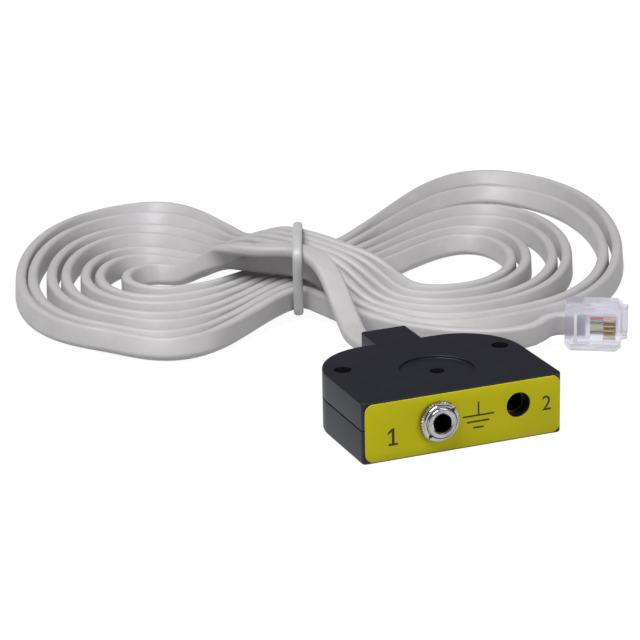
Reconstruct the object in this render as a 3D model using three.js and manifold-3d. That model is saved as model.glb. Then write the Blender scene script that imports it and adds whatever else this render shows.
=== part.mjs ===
// Remote jack box of a wrist strap monitor, with its flat cable tied in a hank and a modular plug.
// Millimetres, +Z up. The box stands on its base; its front face looks along -Y.

import * as THREE from 'three';
import { mergeVertices } from 'three/addons/utils/BufferGeometryUtils.js';
import Module from 'manifold-3d';

const wasm = await Module();
wasm.setup();

// ---------- driving dimensions ----------

// housing: two shells with a D-shaped outline and a cable block at the back
const houseWidth = 41;
const houseDepth = 29.7;
const houseHeight = 12.2;
const lowerShare = 0.545;
const seamGap = 0.2;
const wall = 2;
const floorThick = 1.8;
const backRadius = 12.5;
const cornerRadius = 1.6;
const edgeBevel = 0.4;
const blockWidth = 9.6;
const blockReach = 8.05;
const blockWall = 1.6;
const mountHoleInset = 3.9;
const mountHoleDepth = 18.7;
const mountHoleRadius = 1.7;
const mountBossRadius = 3;
const recessRadius = 7.25;
const recessDepth = 0.5;
const screwDepth = 11.8;
const screwBossRadius = 2.3;
const screwRadius = 1.2;
const screwHeadRadius = 2.4;
const screwHeadThick = 1.3;
const screwHeadSink = 0.4;
const screwTopCover = 2.6;
const screwFootHeight = 3;

// front label
const labelBorder = 0.6;
const labelRadius = 2;
const labelThick = 0.25;

// 3.5 mm jack
const jackX = -5.3;
const jackBore = 3.6;
const threadDiameter = 5.9;
const bushingProud = 2.4;
const nutDiameter = 8;
const nutKnurlThick = 1.1;
const nutNoseThick = 0.45;
const nutNotch = 0.9;
const knurlCount = 36;
const knurlDepth = 0.22;
const ringRadius = 3.6;
const washerThick = 0.4;
const lugThick = 0.3;
const lugReach = 5.3;
const lugWidth = 1.8;
const jackBodyWidth = 5.4;
const jackBodyLength = 10.1;
const springWidth = 1.6;
const springThick = 0.3;

// auxiliary ground socket for a 4 mm plug
const auxX = 11.3;
const auxHole = 4.8;
const auxBore = 4;
const auxTubeWall = 0.45;
const auxSleeveWall = 0.4;
const auxSleeveLength = 12;
const auxTubeLength = 13.5;
const auxTailLength = 2;

// flat cable
const cableWide = 4.9;
const cableThick = 2.4;
const wireRadius = 0.45;
const wirePitch = 1.1;
const tailLength = 7;

// modular plug, standing on its narrow side
const plugLength = 11.6;
const plugWidth = 9.65;
const plugThick = 6.6;
const plugX = 44;
const plugY = 44;
const plugTurn = -31;
const noseReach = 1.2;
const noseWidth = 6.2;
const contactPitch = 1.02;
const contactCount = 4;
const contactThick = 0.34;
const contactStart = 8.1;
const contactEnd = 10.3;
const conductorRadius = 0.38;
const cableInPlug = 4.7;
const latchThick = 0.9;
const latchTail = 3.2;
const latchAngle = 13;
const latchOverrun = 0.6;

// hank: turns of the cable that cross over themselves and are tied at the crossing.
// Its own frame runs along the hank and across it; sizes on a lobe are measured from the crossing.
const hankX = 4.797;
const hankY = 95.797;
const hankTurn = -21.73;
const hankTurns = 6;
const hankSides = 6;
const laneStep = 3.95;
const laneShift = 0.6;
const laneSlope = 0.8;
const restHeight = 0.05;
const levelRise = 5.7;
const climbRun = 11;
const tieAt = 0;
const tieLift = 2.15;
const tieRun = 20;
const leftReach = [38.5, 44.3, 47.6, 52, 55.3, 60, 63.3];
const leftFar = [18, 27, 33, 43.5, 49, 59, 69];
const leftNear = [-6.5, -12.4, -15.7, -21.8, -25.1, -31.2, -34.5];
const rightReach = [74, 70, 61, 57.5, 51.5, 48];
const rightFar = [91.5, 77.5, 63, 54.5, 46, 38.5];
const rightNear = [-29, -25.4, -20.6, -17.2, -12.4, -8.8];
const tieWidth = 2.4;
const tieThick = 0.8;
const leadMargin = 0.4;

// clearances
const touchGap = 0.3;
const slideGap = 0.25;
const paperGap = 0.05;

// ---------- places that follow from them ----------

const blockBack = houseDepth + blockReach;
const middleY = (blockBack - bushingProud) / 2;
const ceiling = houseHeight - floorThick;
const seamHeight = lowerShare * houseHeight;
const threadRadius = threadDiameter / 2;
const auxTubeRadius = auxBore / 2 + auxTubeWall;
const jackZ = ceiling - ringRadius - 2 * paperGap;
const jackBodyHeight = 2 * (ceiling - jackZ - 2 * wireRadius - 3 * paperGap);
const auxZ = ceiling - auxTubeRadius - slideGap - auxSleeveWall - 4 * paperGap;
const jackFront = wall + washerThick + lugThick + 2 * slideGap;
const bodyBack = jackFront + jackBodyLength;
const levelLow = restHeight + cableWide / 2;
const levelHigh = levelLow + levelRise;
const levelTop = levelHigh + cableWide / 2 + cableThick / 2 + 0.45;
const plugMiddle = plugWidth / 2;
const noseTip = plugLength + noseReach;

// ---------- geometry helpers ----------

function bare(geometry) {
  geometry.deleteAttribute('normal');
  geometry.deleteAttribute('uv');
  return mergeVertices(geometry, 1e-4);
}

function solid(geometry) {
  const mesh = bare(geometry);
  return new wasm.Manifold(new wasm.Mesh({
    numProp: 3,
    vertProperties: new Float32Array(mesh.attributes.position.array),
    triVerts: new Uint32Array(mesh.index.array),
  }));
}

function surface(shape) {
  const mesh = shape.getMesh();
  const geometry = new THREE.BufferGeometry();
  geometry.setAttribute('position', new THREE.Float32BufferAttribute(mesh.vertProperties, 3));
  geometry.setIndex(new THREE.Uint32BufferAttribute(mesh.triVerts, 1));
  return geometry;
}

function join(...shapes) {
  return shapes.reduce((whole, shape) => whole.add(shape));
}

function cut(whole, ...tools) {
  return tools.reduce((rest, tool) => rest.subtract(tool), whole);
}

function box(x0, x1, y0, y1, z0, z1) {
  const geometry = new THREE.BoxGeometry(x1 - x0, y1 - y0, z1 - z0);
  geometry.translate((x0 + x1) / 2, (y0 + y1) / 2, (z0 + z1) / 2);
  return solid(geometry);
}

function post(radius, x, y, z0, z1, sides = 32) {
  const geometry = new THREE.CylinderGeometry(radius, radius, z1 - z0, sides);
  geometry.rotateX(Math.PI / 2);
  geometry.translate(x, y, (z0 + z1) / 2);
  return solid(geometry);
}

function bar(radius, x, y0, y1, z, sides = 32) {
  const geometry = new THREE.CylinderGeometry(radius, radius, y1 - y0, sides);
  geometry.translate(x, (y0 + y1) / 2, z);
  return solid(geometry);
}

// a closed ring profile of [radius, y] pairs, turned about the Y axis
function turned(profile, x, z, sides = 40) {
  const points = [...profile, profile[0]].map(([radius, y]) => new THREE.Vector2(radius, y));
  const geometry = new THREE.LatheGeometry(points, sides);
  geometry.translate(x, 0, z);
  return geometry;
}

// a flat outline in X and Y, extruded up Z
function slab(shape, z0, z1, curveSegments = 6) {
  const depth = z1 - z0;
  const geometry = new THREE.ExtrudeGeometry(shape, { depth, bevelEnabled: false, curveSegments });
  geometry.translate(0, 0, z0);
  return geometry;
}

// an outline drawn in X and Z, extruded along Y
function plate(shape, y0, y1, curveSegments = 6) {
  const geometry = slab(shape, -y1, -y0, curveSegments);
  geometry.rotateX(Math.PI / 2);
  return geometry;
}

function polygon(points) {
  const shape = new THREE.Shape();
  points.forEach(([x, y], i) => (i ? shape.lineTo(x, y) : shape.moveTo(x, y)));
  shape.closePath();
  return shape;
}

function roundedRectangle(x0, x1, y0, y1, radius) {
  const shape = new THREE.Shape();
  shape.moveTo(x0 + radius, y0);
  shape.lineTo(x1 - radius, y0);
  shape.absarc(x1 - radius, y0 + radius, radius, -Math.PI / 2, 0);
  shape.lineTo(x1, y1 - radius);
  shape.absarc(x1 - radius, y1 - radius, radius, 0, Math.PI / 2);
  shape.lineTo(x0 + radius, y1);
  shape.absarc(x0 + radius, y1 - radius, radius, Math.PI / 2, Math.PI);
  shape.lineTo(x0, y0 + radius);
  shape.absarc(x0 + radius, y0 + radius, radius, Math.PI, 1.5 * Math.PI);
  return shape;
}

function roundHole(x, y, radius) {
  const hole = new THREE.Path();
  hole.absarc(x, y, radius, 0, 2 * Math.PI, true);
  return hole;
}

// a strip of even thickness along a line of [y, z] points, as wide as width in X
function strip(line, thickness, width, x, z) {
  const points = line.map(([along, up]) => new THREE.Vector2(along, up));
  const near = [];
  const far = [];
  points.forEach((point, i) => {
    const before = points[Math.max(i - 1, 0)];
    const after = points[Math.min(i + 1, points.length - 1)];
    const along = after.clone().sub(before).normalize();
    const across = new THREE.Vector2(-along.y, along.x).multiplyScalar(thickness / 2);
    near.push(point.clone().sub(across));
    far.unshift(point.clone().add(across));
  });
  const shape = new THREE.Shape([...near, ...far]);
  const geometry = new THREE.ExtrudeGeometry(shape, { depth: width, bevelEnabled: false });
  geometry.rotateY(Math.PI / 2);
  geometry.rotateX(Math.PI / 2);
  geometry.translate(x - width / 2, 0, z);
  return geometry;
}

// ---------- materials ----------

function finish(color, roughness, metalness = 0, opacity = 1) {
  return new THREE.MeshStandardMaterial({ color, roughness, metalness, opacity, transparent: opacity < 1 });
}

const looks = {
  shell: finish(0x2e2d33, 0.55),
  label: finish(0xb8b41e, 0.4),
  nickel: finish(0xc4c4c6, 0.25, 1),
  steel: finish(0x9a9a9c, 0.35, 1),
  brass: finish(0xb99a4a, 0.3, 1),
  gold: finish(0xd4a94c, 0.25, 1),
  darkPlastic: finish(0x161618, 0.5),
  cable: finish(0xc9c9cc, 0.45),
  tie: finish(0xc6c6c8, 0.4),
  clear: finish(0xd6d4e2, 0.12, 0, 0.4),
  red: finish(0xb3262c, 0.4),
  green: finish(0x1f7a4a, 0.4),
  yellow: finish(0xd9cf3a, 0.4),
  black: finish(0x1a1a1c, 0.4),
};

const remoteBox = new THREE.Group();
const assembly = new THREE.Group();
assembly.position.y = -middleY;
remoteBox.add(assembly);

function piece(name, geometry, material, parent = assembly) {
  const mesh = new THREE.Mesh(geometry, material);
  mesh.name = name;
  parent.add(mesh);
  return mesh;
}

// ---------- housing ----------

function houseShape(inset) {
  const half = houseWidth / 2 - inset;
  const back = houseDepth - inset;
  const large = backRadius - inset;
  const small = Math.max(cornerRadius - inset, 0.4);
  const shape = new THREE.Shape();
  shape.moveTo(-half + small, inset);
  shape.lineTo(half - small, inset);
  shape.absarc(half - small, inset + small, small, -Math.PI / 2, 0);
  shape.lineTo(half, back - large);
  shape.absarc(half - large, back - large, large, 0, Math.PI / 2);
  shape.lineTo(-half + large, back);
  shape.absarc(-half + large, back - large, large, Math.PI / 2, Math.PI);
  shape.lineTo(-half, inset + small);
  shape.absarc(-half + small, inset + small, small, Math.PI, 1.5 * Math.PI);
  return shape;
}

function blockShape() {
  const half = blockWidth / 2;
  const front = houseDepth - wall;
  return polygon([[-half, front], [half, front], [half, blockBack], [-half, blockBack]]);
}

function bevelled(shape) {
  const geometry = new THREE.ExtrudeGeometry(shape, {
    depth: houseHeight - 2 * edgeBevel,
    bevelThickness: edgeBevel,
    bevelSize: edgeBevel,
    bevelOffset: -edgeBevel,
    bevelSegments: 2,
    curveSegments: 8,
  });
  geometry.translate(0, 0, edgeBevel);
  return solid(geometry);
}

function housingHollow() {
  const channel = blockWidth / 2 - blockWall;
  return join(
    solid(slab(houseShape(wall), floorThick, ceiling, 8)),
    box(-channel, channel, houseDepth - wall - 1, blockBack - blockWall, floorThick, ceiling),
  );
}

function mountPlaces() {
  const x = houseWidth / 2 - mountHoleInset;
  return [[-x, mountHoleDepth], [x, mountHoleDepth]];
}

function mountPosts(radius, z0, z1) {
  return join(...mountPlaces().map(([x, y]) => post(radius, x, y, z0, z1)));
}

// what passes through both shells: the jack, the socket, the cable and the two mounting holes
function housingOpenings() {
  const slotX = cableWide / 2 + slideGap;
  const slotZ = cableThick / 2 + slideGap;
  return join(
    bar(threadRadius + slideGap, jackX, -1, wall + 1, jackZ),
    bar(auxHole / 2, auxX, -1, wall + 1, auxZ),
    box(-slotX, slotX, blockBack - blockWall - 1, blockBack + 1, seamHeight - slotZ, seamHeight + slotZ),
    mountPosts(mountHoleRadius, -1, houseHeight + 1),
  );
}

// ribs that pinch the flat cable where it runs through the block
function cableRibs(z0, z1) {
  const half = blockWidth / 2 - blockWall + paperGap;
  return box(-half, half, blockBack - 5.4, blockBack - 4.2, z0, z1);
}

const outerHousing = join(bevelled(houseShape(0)), bevelled(blockShape()));
const wide = houseWidth;

function lowerShell() {
  const top = seamHeight - seamGap / 2;
  const below = box(-wide, wide, -wide, 2 * wide, -1, top);
  const shell = join(
    outerHousing.intersect(below).subtract(housingHollow()),
    mountPosts(mountBossRadius, floorThick - paperGap, top),
    post(screwBossRadius, 0, screwDepth, floorThick - paperGap, top),
    post(screwHeadRadius + 1.1, 0, screwDepth, floorThick - paperGap, screwFootHeight),
    cableRibs(floorThick - paperGap, seamHeight - cableThick / 2 - slideGap),
  );
  const sink = screwHeadSink + screwHeadThick + paperGap;
  return surface(cut(
    shell,
    housingOpenings(),
    post(screwHeadRadius + slideGap, 0, screwDepth, -1, sink),
    post(screwRadius + slideGap, 0, screwDepth, -1, houseHeight),
  ));
}

function upperShell() {
  const base = seamHeight + seamGap / 2;
  const above = box(-wide, wide, -wide, 2 * wide, base, houseHeight + 1);
  const shell = join(
    outerHousing.intersect(above).subtract(housingHollow()),
    mountPosts(mountBossRadius, base, ceiling + paperGap),
    post(screwBossRadius, 0, screwDepth, base, ceiling + paperGap),
    cableRibs(seamHeight + cableThick / 2 + slideGap, ceiling + paperGap),
  );
  return surface(cut(
    shell,
    housingOpenings(),
    post(recessRadius, 0, screwDepth, houseHeight - recessDepth, houseHeight + 1, 64),
    post(screwRadius + slideGap, 0, screwDepth, 0, houseHeight + 1),
  ));
}

piece('lower_housing', lowerShell(), looks.shell);
piece('upper_housing', upperShell(), looks.shell);

function assemblyScrew() {
  const head = post(screwHeadRadius, 0, screwDepth, screwHeadSink, screwHeadSink + screwHeadThick, 24);
  const shank = post(screwRadius, 0, screwDepth, screwHeadSink, houseHeight - screwTopCover, 20);
  const slots = [[0.35, 1.3], [1.3, 0.35]].map(([x, y]) => (
    box(-x, x, screwDepth - y, screwDepth + y, screwHeadSink - 1, screwHeadSink + 0.7)
  ));
  return surface(cut(join(head, shank), ...slots));
}

piece('assembly_screw', assemblyScrew(), looks.steel);

function frontLabel() {
  const half = houseWidth / 2 - labelBorder;
  const shape = roundedRectangle(-half, half, labelBorder, houseHeight - labelBorder, labelRadius);
  shape.holes.push(roundHole(jackX, jackZ, threadRadius + slideGap));
  shape.holes.push(roundHole(auxX, auxZ, auxHole / 2));
  return bare(plate(shape, -labelThick - paperGap, -paperGap, 10));
}

piece('front_label', frontLabel(), looks.label);

// ---------- 3.5 mm jack ----------

function bushing() {
  const bore = jackBore / 2;
  const back = jackFront - slideGap;
  return bare(turned([
    [bore, back], [bore, -bushingProud + 0.3], [bore + 0.3, -bushingProud],
    [threadRadius - 0.25, -bushingProud], [threadRadius, -bushingProud + 0.25], [threadRadius, back],
  ], jackX, jackZ));
}

function knurledNut() {
  const back = -labelThick - 2 * paperGap;
  const front = back - nutKnurlThick;
  const bore = threadRadius + slideGap;
  const outer = nutDiameter / 2;
  const star = new THREE.Shape();
  for (let i = 0; i < 2 * knurlCount; i += 1) {
    const angle = (Math.PI * i) / knurlCount;
    const radius = i % 2 ? outer - knurlDepth : outer;
    const x = jackX + radius * Math.cos(angle);
    const z = jackZ + radius * Math.sin(angle);
    if (i) star.lineTo(x, z);
    else star.moveTo(x, z);
  }
  star.closePath();
  star.holes.push(roundHole(jackX, jackZ, bore));
  const knurl = solid(plate(star, front, back, 16));
  const shoulder = outer - knurlDepth;
  const nose = solid(turned([
    [bore, front + 0.1], [bore, front - nutNoseThick], [shoulder - 0.35, front - nutNoseThick],
    [shoulder, front - 0.1], [shoulder, front + 0.1],
  ], jackX, jackZ));
  const notch = new THREE.BoxGeometry(3 * outer, 0.7, nutNotch);
  notch.rotateY(-Math.PI / 4);
  notch.translate(jackX, front - nutNoseThick, jackZ);
  return surface(join(knurl, nose).subtract(solid(notch)));
}

function flatRing(y0, thickness) {
  const inner = threadRadius + slideGap;
  const y1 = y0 + thickness;
  return turned([[inner, y0], [ringRadius, y0], [ringRadius, y1], [inner, y1]], jackX, jackZ);
}

function sleeveLug() {
  const y0 = wall + paperGap + washerThick + paperGap;
  const half = lugWidth / 2;
  const x0 = jackX + ringRadius - 0.3;
  const tail = box(x0, jackX + lugReach, y0, y0 + lugThick, jackZ - half, jackZ + half);
  return surface(join(solid(flatRing(y0, lugThick)), tail));
}

function jackBody() {
  const half = jackBodyWidth / 2;
  const low = jackZ - jackBodyHeight / 2;
  const high = jackZ + jackBodyHeight / 2;
  const window = springWidth / 2 + touchGap;
  return surface(cut(
    box(jackX - half, jackX + half, jackFront, bodyBack, low, high),
    bar(jackBore / 2 + 0.15, jackX, jackFront - 1, bodyBack - 1.6, jackZ),
    box(jackX - window, jackX + window, jackFront + 1.6, bodyBack + 1, low - 1, jackZ - 1.2),
  ));
}

// contacts below the bore, as lines of [y, height from the jack axis]
const springLine = [
  [12.2, -2.4], [9.4, -2.2], [8.5, -1.4], [8.1, -1.4], [7.2, -2.3], [6.6, -2.85], [5.9, -2.95],
];
const lugLine = [[12.55, -2.4], [15.6, -2.4]];
const shuntDrop = jackBodyHeight / 2 + slideGap;
const shuntLine = [[6.1, -2.5], [5.1, -2.5], [5.1, -shuntDrop], [3.3, -shuntDrop]];

piece('jack_bushing', bushing(), looks.nickel);
piece('knurled_nut', knurledNut(), looks.nickel);
piece('jack_washer', bare(flatRing(wall + paperGap, washerThick)), looks.steel);
piece('sleeve_lug', sleeveLug(), looks.brass);
piece('jack_body', jackBody(), looks.darkPlastic);
piece('tip_spring', bare(strip(springLine, springThick, springWidth, jackX, jackZ)), looks.brass);
piece('tip_lug', bare(strip(lugLine, springThick, springWidth, jackX, jackZ)), looks.brass);
piece('shunt_contact', bare(strip(shuntLine, springThick, springWidth, jackX, jackZ)), looks.brass);

// ---------- auxiliary ground socket ----------

const auxFront = wall + touchGap;

function auxInsulator() {
  const inner = auxTubeRadius + slideGap;
  const outer = inner + auxSleeveWall;
  const back = auxFront + auxSleeveLength;
  return bare(turned([[inner, auxFront], [outer, auxFront], [outer, back], [inner, back]], auxX, auxZ));
}

function auxSocket() {
  const bore = auxBore / 2;
  const back = auxFront + auxTubeLength;
  const tube = solid(turned([
    [bore, auxFront], [auxTubeRadius, auxFront], [auxTubeRadius, back], [bore, back],
  ], auxX, auxZ));
  const low = auxZ - bore - 0.3;
  const tail = box(auxX - 1, auxX + 1, back - 0.5, back + auxTailLength, low, low + 0.5);
  return surface(join(tube, tail));
}

piece('aux_insulator', auxInsulator(), looks.darkPlastic);
piece('aux_socket', auxSocket(), looks.brass);

// ---------- flat cable: section, inner end and inner wires ----------

// eight-sided flat section; tall is the size along the first axis of the extrusion
function flatSection(tall, broad) {
  const corner = Math.min(tall, broad) / 3.4;
  const a = tall / 2;
  const b = broad / 2;
  return polygon([
    [a, -b + corner], [a, b - corner], [a - corner, b], [-a + corner, b],
    [-a, b - corner], [-a, -b + corner], [-a + corner, -b], [a - corner, -b],
  ]);
}

function tubeAlong(points, section, steps) {
  const curve = new THREE.CatmullRomCurve3(points.map((point) => new THREE.Vector3(...point)));
  return bare(new THREE.ExtrudeGeometry(section, { steps, extrudePath: curve, bevelEnabled: false }));
}

const tailEnd = blockBack - tailLength;

const tailLine = [tailEnd, tailEnd + tailLength / 2, blockBack].map((y) => [0, y, seamHeight]);

piece('cable_tail', tubeAlong(tailLine, flatSection(cableThick, cableWide), 3), looks.cable);

function roundSection(radius, sides) {
  const points = [];
  for (let i = 0; i < sides; i += 1) {
    const angle = (2 * Math.PI * i) / sides;
    points.push([radius * Math.cos(angle), radius * Math.sin(angle)]);
  }
  return polygon(points);
}

// each wire leaves the cable end side by side with the others and stops at its own lug
const wireRoutes = {
  yellow: [
    [-2.1, 29, 6.1], [-3.2, 26.4, 5.4], [-7.6, 22, 3.8], [-10.4, 17, 2.9],
    [-10.2, 9, 2.8], [-9, 5.2, 3.1], [-6.6, 4.3, jackZ - shuntDrop - touchGap],
  ],
  red: [[-1.6, 26.5, 6.2], [-3.9, 21.5, 4.9], [-5.1, 18.4, 4.4], [jackX, 16.1, 4.3]],
  green: [[1.3, 26.5, 6.9], [4.2, 19, 7.7], [4.6, 11, 7.8], [2.9, 5.2, 7.1], [0.4, 2.9, jackZ]],
  black: [[2, 29, 6.2], [3, 26.6, 6], [7.4, 22.2, 5.4], [auxX, 18.6, auxZ - auxBore / 2]],
};

Object.entries(wireRoutes).forEach(([color, route], i) => {
  const x = (i - 1.5) * wirePitch;
  const start = [[x, tailEnd - touchGap, seamHeight], [x, tailEnd - 1.4, seamHeight]];
  const steps = 3 * (route.length + 1);
  piece(`wire_${color}`, tubeAlong([...start, ...route], roundSection(wireRadius, 8), steps), looks[color]);
});

// ---------- modular plug ----------

const plug = new THREE.Group();
plug.position.set(plugX, plugY, 0);
plug.rotation.z = THREE.MathUtils.degToRad(plugTurn);
assembly.add(plug);

function contactHeights(count) {
  const lowest = plugMiddle - ((count - 1) / 2) * contactPitch;
  return Array.from({ length: count }, (_, i) => lowest + i * contactPitch);
}

function plugBody() {
  const half = plugThick / 2;
  const outline = polygon([
    [0, 1.3], [1.2, 0], [plugLength - 1.1, 0], [plugLength, 0.9],
    [plugLength, plugWidth - 0.9], [plugLength - 0.8, plugWidth], [0.3, plugWidth], [0, plugWidth - 0.3],
  ]);
  const noseHalf = noseWidth / 2;
  const body = join(
    solid(plate(outline, -half, half)),
    box(plugLength - 0.5, noseTip, -0.5, half - 0.3, plugMiddle - noseHalf, plugMiddle + noseHalf),
  );
  const throatY = cableThick / 2 + slideGap;
  const throatZ = cableWide / 2 + slideGap;
  const slots = contactHeights(6).map((z) => (
    box(contactStart - 0.2, contactEnd + 0.2, -half - 1, -conductorRadius - 0.3, z - 0.37, z + 0.37)
  ));
  return surface(cut(
    body,
    box(-1, 5.2, -throatY, throatY, plugMiddle - throatZ, plugMiddle + throatZ),
    box(4.8, 10.8, -0.75, 0.75, plugMiddle - 2.1, plugMiddle + 2.1),
    box(1.9, 2.6, -half - 1, -throatY + 0.2, plugMiddle - 3.1, plugMiddle + 3.1),
    box(2.6, 5.3, -half - 1, -half + 0.5, plugMiddle - 3.1, plugMiddle + 3.1),
    ...slots,
  ));
}

function plugLatch() {
  const root = plugThick / 2 + touchGap;
  const rise = (noseTip + latchOverrun) * Math.tan(THREE.MathUtils.degToRad(latchAngle));
  const profile = polygon([
    [noseTip, root], [noseTip, root + latchThick * 0.7], [noseTip - 0.5, root + latchThick * 1.2],
    [-latchOverrun, root + latchThick + rise], [-latchOverrun, root + rise], [noseTip - 0.6, root],
  ]);
  const lever = slab(profile, plugMiddle - noseWidth / 2, plugMiddle + noseWidth / 2);
  const side = latchTail / 2;
  const sides = [-1, 1].map((way) => {
    const inner = plugMiddle + way * side;
    const outer = plugMiddle + way * noseWidth;
    return box(-5, 6, 0, 20, Math.min(inner, outer), Math.max(inner, outer));
  });
  return surface(cut(solid(lever), ...sides));
}

piece('plug_body', plugBody(), looks.clear, plug);
piece('plug_latch', plugLatch(), looks.clear, plug);

const conductorColors = ['black', 'yellow', 'green', 'red'];
contactHeights(contactCount).forEach((z, i) => {
  const half = contactThick / 2;
  const edge = -plugThick / 2 + 0.5;
  const blade = box(contactStart, contactEnd, edge, -conductorRadius - touchGap, z - half, z + half);
  piece(`plug_contact_${i + 1}`, surface(blade), looks.gold, plug);
  const conductor = new THREE.CylinderGeometry(conductorRadius, conductorRadius, 5.4, 10);
  conductor.rotateZ(Math.PI / 2);
  conductor.translate(7.8, 0, z);
  piece(`plug_conductor_${i + 1}`, bare(conductor), looks[conductorColors[i]], plug);
});

// ---------- hank ----------

const hankAngle = THREE.MathUtils.degToRad(hankTurn);

// from the hank's own frame: run along it, across it, and up
function fromHank([run, across, up]) {
  const x = hankX + run * Math.cos(hankAngle) - across * Math.sin(hankAngle);
  const y = hankY + run * Math.sin(hankAngle) + across * Math.cos(hankAngle);
  return [x, y, up];
}

function ease(value) {
  const t = Math.min(1, Math.max(0, value));
  return t * t * (3 - 2 * t);
}

function lane(i) {
  return (i - hankTurns / 2) * laneStep + laneShift;
}

// height by which everything near the tie is lifted, so that the tie passes under it
function lift(run) {
  return tieLift * (1 - ease(Math.abs(run - tieAt) / tieRun));
}

// how far from the crossing a raised strand must stay up to pass over the strands below it
function clearRun(lanesOver) {
  return (lanesOver * laneStep + cableThick + 0.45) / (2 * laneSlope) + 0.6;
}

// how each half of a lobe opens out: where it starts to, where it has, how its lanes fan, how it eases
const halves = {
  leftFar: { start: 3, open: 45, fan: 9, relief: 0 },
  leftNear: { start: 2, open: 42, fan: 12, relief: 0 },
  rightFar: { start: 3, open: 58, fan: 10, relief: 0 },
  rightNear: { start: 4, open: 52, fan: 60, relief: 0.0034 },
};

// one lobe, from the crossing round to the crossing; the angle runs from 0 on its far side to half a turn
function lobePoint(lobe, angle) {
  const run = lobe.reach * Math.sin(angle);
  const isFar = Math.cos(angle) > 0;
  const half = isFar ? lobe.farHalf : lobe.nearHalf;
  const profile = Math.sin((Math.PI / 2) * Math.cos(angle));
  const open = Math.min(half.open, 0.95 * lobe.reach);
  const opened = ease((run - half.start) / (open - half.start));
  const middle = (lobe.far + lobe.near) / 2;
  const loop = middle + ((lobe.far - lobe.near) / 2) * profile;
  const start = lobe.laneIn + (lobe.laneOut - lobe.laneIn) * ease((1.5 * angle) / Math.PI - 0.25);
  const fanned = ((start - laneShift) * run * run) / ((run + 25) * half.fan);
  const waist = start + fanned + profile * (laneSlope * run - half.relief * run * run);
  const raised = lobe.side < 0 ? isFar : !isFar;
  const drop = raised ? ease((run - lobe.clear) / climbRun) : 1;
  const across = waist * (1 - opened) + loop * opened;
  return [lobe.side * run, across, levelHigh - levelRise * drop + lift(lobe.side * run)];
}

function leftLobe(i) {
  return {
    side: -1, reach: leftReach[i], far: leftFar[i], near: leftNear[i], clear: clearRun(hankTurns - i),
    laneIn: lane(i), laneOut: lane(hankTurns - i), farHalf: halves.leftFar, nearHalf: halves.leftNear,
  };
}

function rightLobe(i) {
  return {
    side: 1, reach: rightReach[i], far: rightFar[i], near: rightNear[i], clear: clearRun(i),
    laneIn: lane(hankTurns - i), laneOut: lane(i + 1), farHalf: halves.rightFar, nearHalf: halves.rightNear,
  };
}

// twelve steps round a lobe: two end a climb, the rest share what is left of each half
function lobeAngles(lobe, startEarly = 0) {
  const up = Math.asin((lobe.clear - startEarly) / lobe.reach);
  const down = Math.asin((lobe.clear - startEarly + climbRun) / lobe.reach);
  const shared = [1, 2, 3, 4].map((k) => down + ((Math.PI / 2 - down) * k) / 4);
  const half = [0, up, down, ...shared];
  return [...half, ...half.slice(0, -1).reverse().map((angle) => Math.PI - angle)];
}

// the first side of the first lobe comes down from the top of the bundle, where it lies flat
const topShift = 1.6;
const topStep = 6;

// half the gap between the turns and the free stretches, which meet at a slant
const jointGap = 1;

function fromTop([run, across, up]) {
  const away = -run;
  const height = up + (levelTop + lift(run) - up) * (1 - ease((away - 11) / 11));
  const shift = topShift * (1 - ease(away / 8));
  return [run, across + shift, height, (Math.PI / 2) * (1 - ease((away - 10) / 11))];
}

// the turns as points of [run, across, up, lean]; lean 0 stands the flat cable on its edge
function hankLine() {
  const line = [];
  for (let i = 0; i <= hankTurns; i += 1) {
    const left = leftLobe(i);
    lobeAngles(left, i ? 0 : topStep).forEach((angle, k) => {
      const point = lobePoint(left, angle);
      if (i === 0) line.push(k < 6 ? fromTop(point) : [...point, 0]);
      else if (k) line.push([...point, 0]);
    });
    if (i < hankTurns) {
      const right = rightLobe(i);
      lobeAngles(right).slice(1).forEach((angle) => line.push([...lobePoint(right, angle), 0]));
    }
  }
  line[0][0] = -jointGap;
  line[line.length - 1][0] = -jointGap;
  line[line.length - 1][1] -= laneSlope * jointGap;
  return line;
}

// frame of the flat section at each point: its place, its wide way and its thin way
function sectionFrames(line) {
  const places = line.map((point) => new THREE.Vector3(...fromHank(point)));
  return places.map((place, i) => {
    const before = places[Math.max(i - 1, 0)];
    const after = places[Math.min(i + 1, places.length - 1)];
    const along = after.clone().sub(before).normalize();
    const level = new THREE.Vector3(0, 0, 1).cross(along).normalize();
    const upright = along.clone().cross(level);
    const lean = line[i][3];
    const wideWay = upright.multiplyScalar(Math.cos(lean)).addScaledVector(level, Math.sin(lean));
    return { place, wideWay, thinWay: along.clone().cross(wideWay) };
  });
}

function hankTube(frames) {
  const a = cableWide / 2;
  const b = cableThick / 2;
  const shoulder = a - b;
  const ring = [[a, 0], [shoulder, b], [-shoulder, b], [-a, 0], [-shoulder, -b], [shoulder, -b]];
  const positions = [];
  const index = [];
  frames.forEach(({ place, wideWay, thinWay }) => {
    ring.forEach(([w, n]) => {
      const point = place.clone().addScaledVector(wideWay, w).addScaledVector(thinWay, n);
      positions.push(point.x, point.y, point.z);
    });
  });
  const last = (frames.length - 1) * hankSides;
  for (let i = 0; i < frames.length - 1; i += 1) {
    for (let k = 0; k < hankSides; k += 1) {
      const p = i * hankSides + k;
      const q = i * hankSides + ((k + 1) % hankSides);
      index.push(p, q, p + hankSides, q, q + hankSides, p + hankSides);
    }
  }
  for (let k = 1; k < hankSides - 1; k += 1) {
    index.push(0, k + 1, k);
    index.push(last, last + k, last + k + 1);
  }
  const geometry = new THREE.BufferGeometry();
  geometry.setAttribute('position', new THREE.Float32BufferAttribute(positions, 3));
  geometry.setIndex(index);
  return geometry;
}

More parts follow.
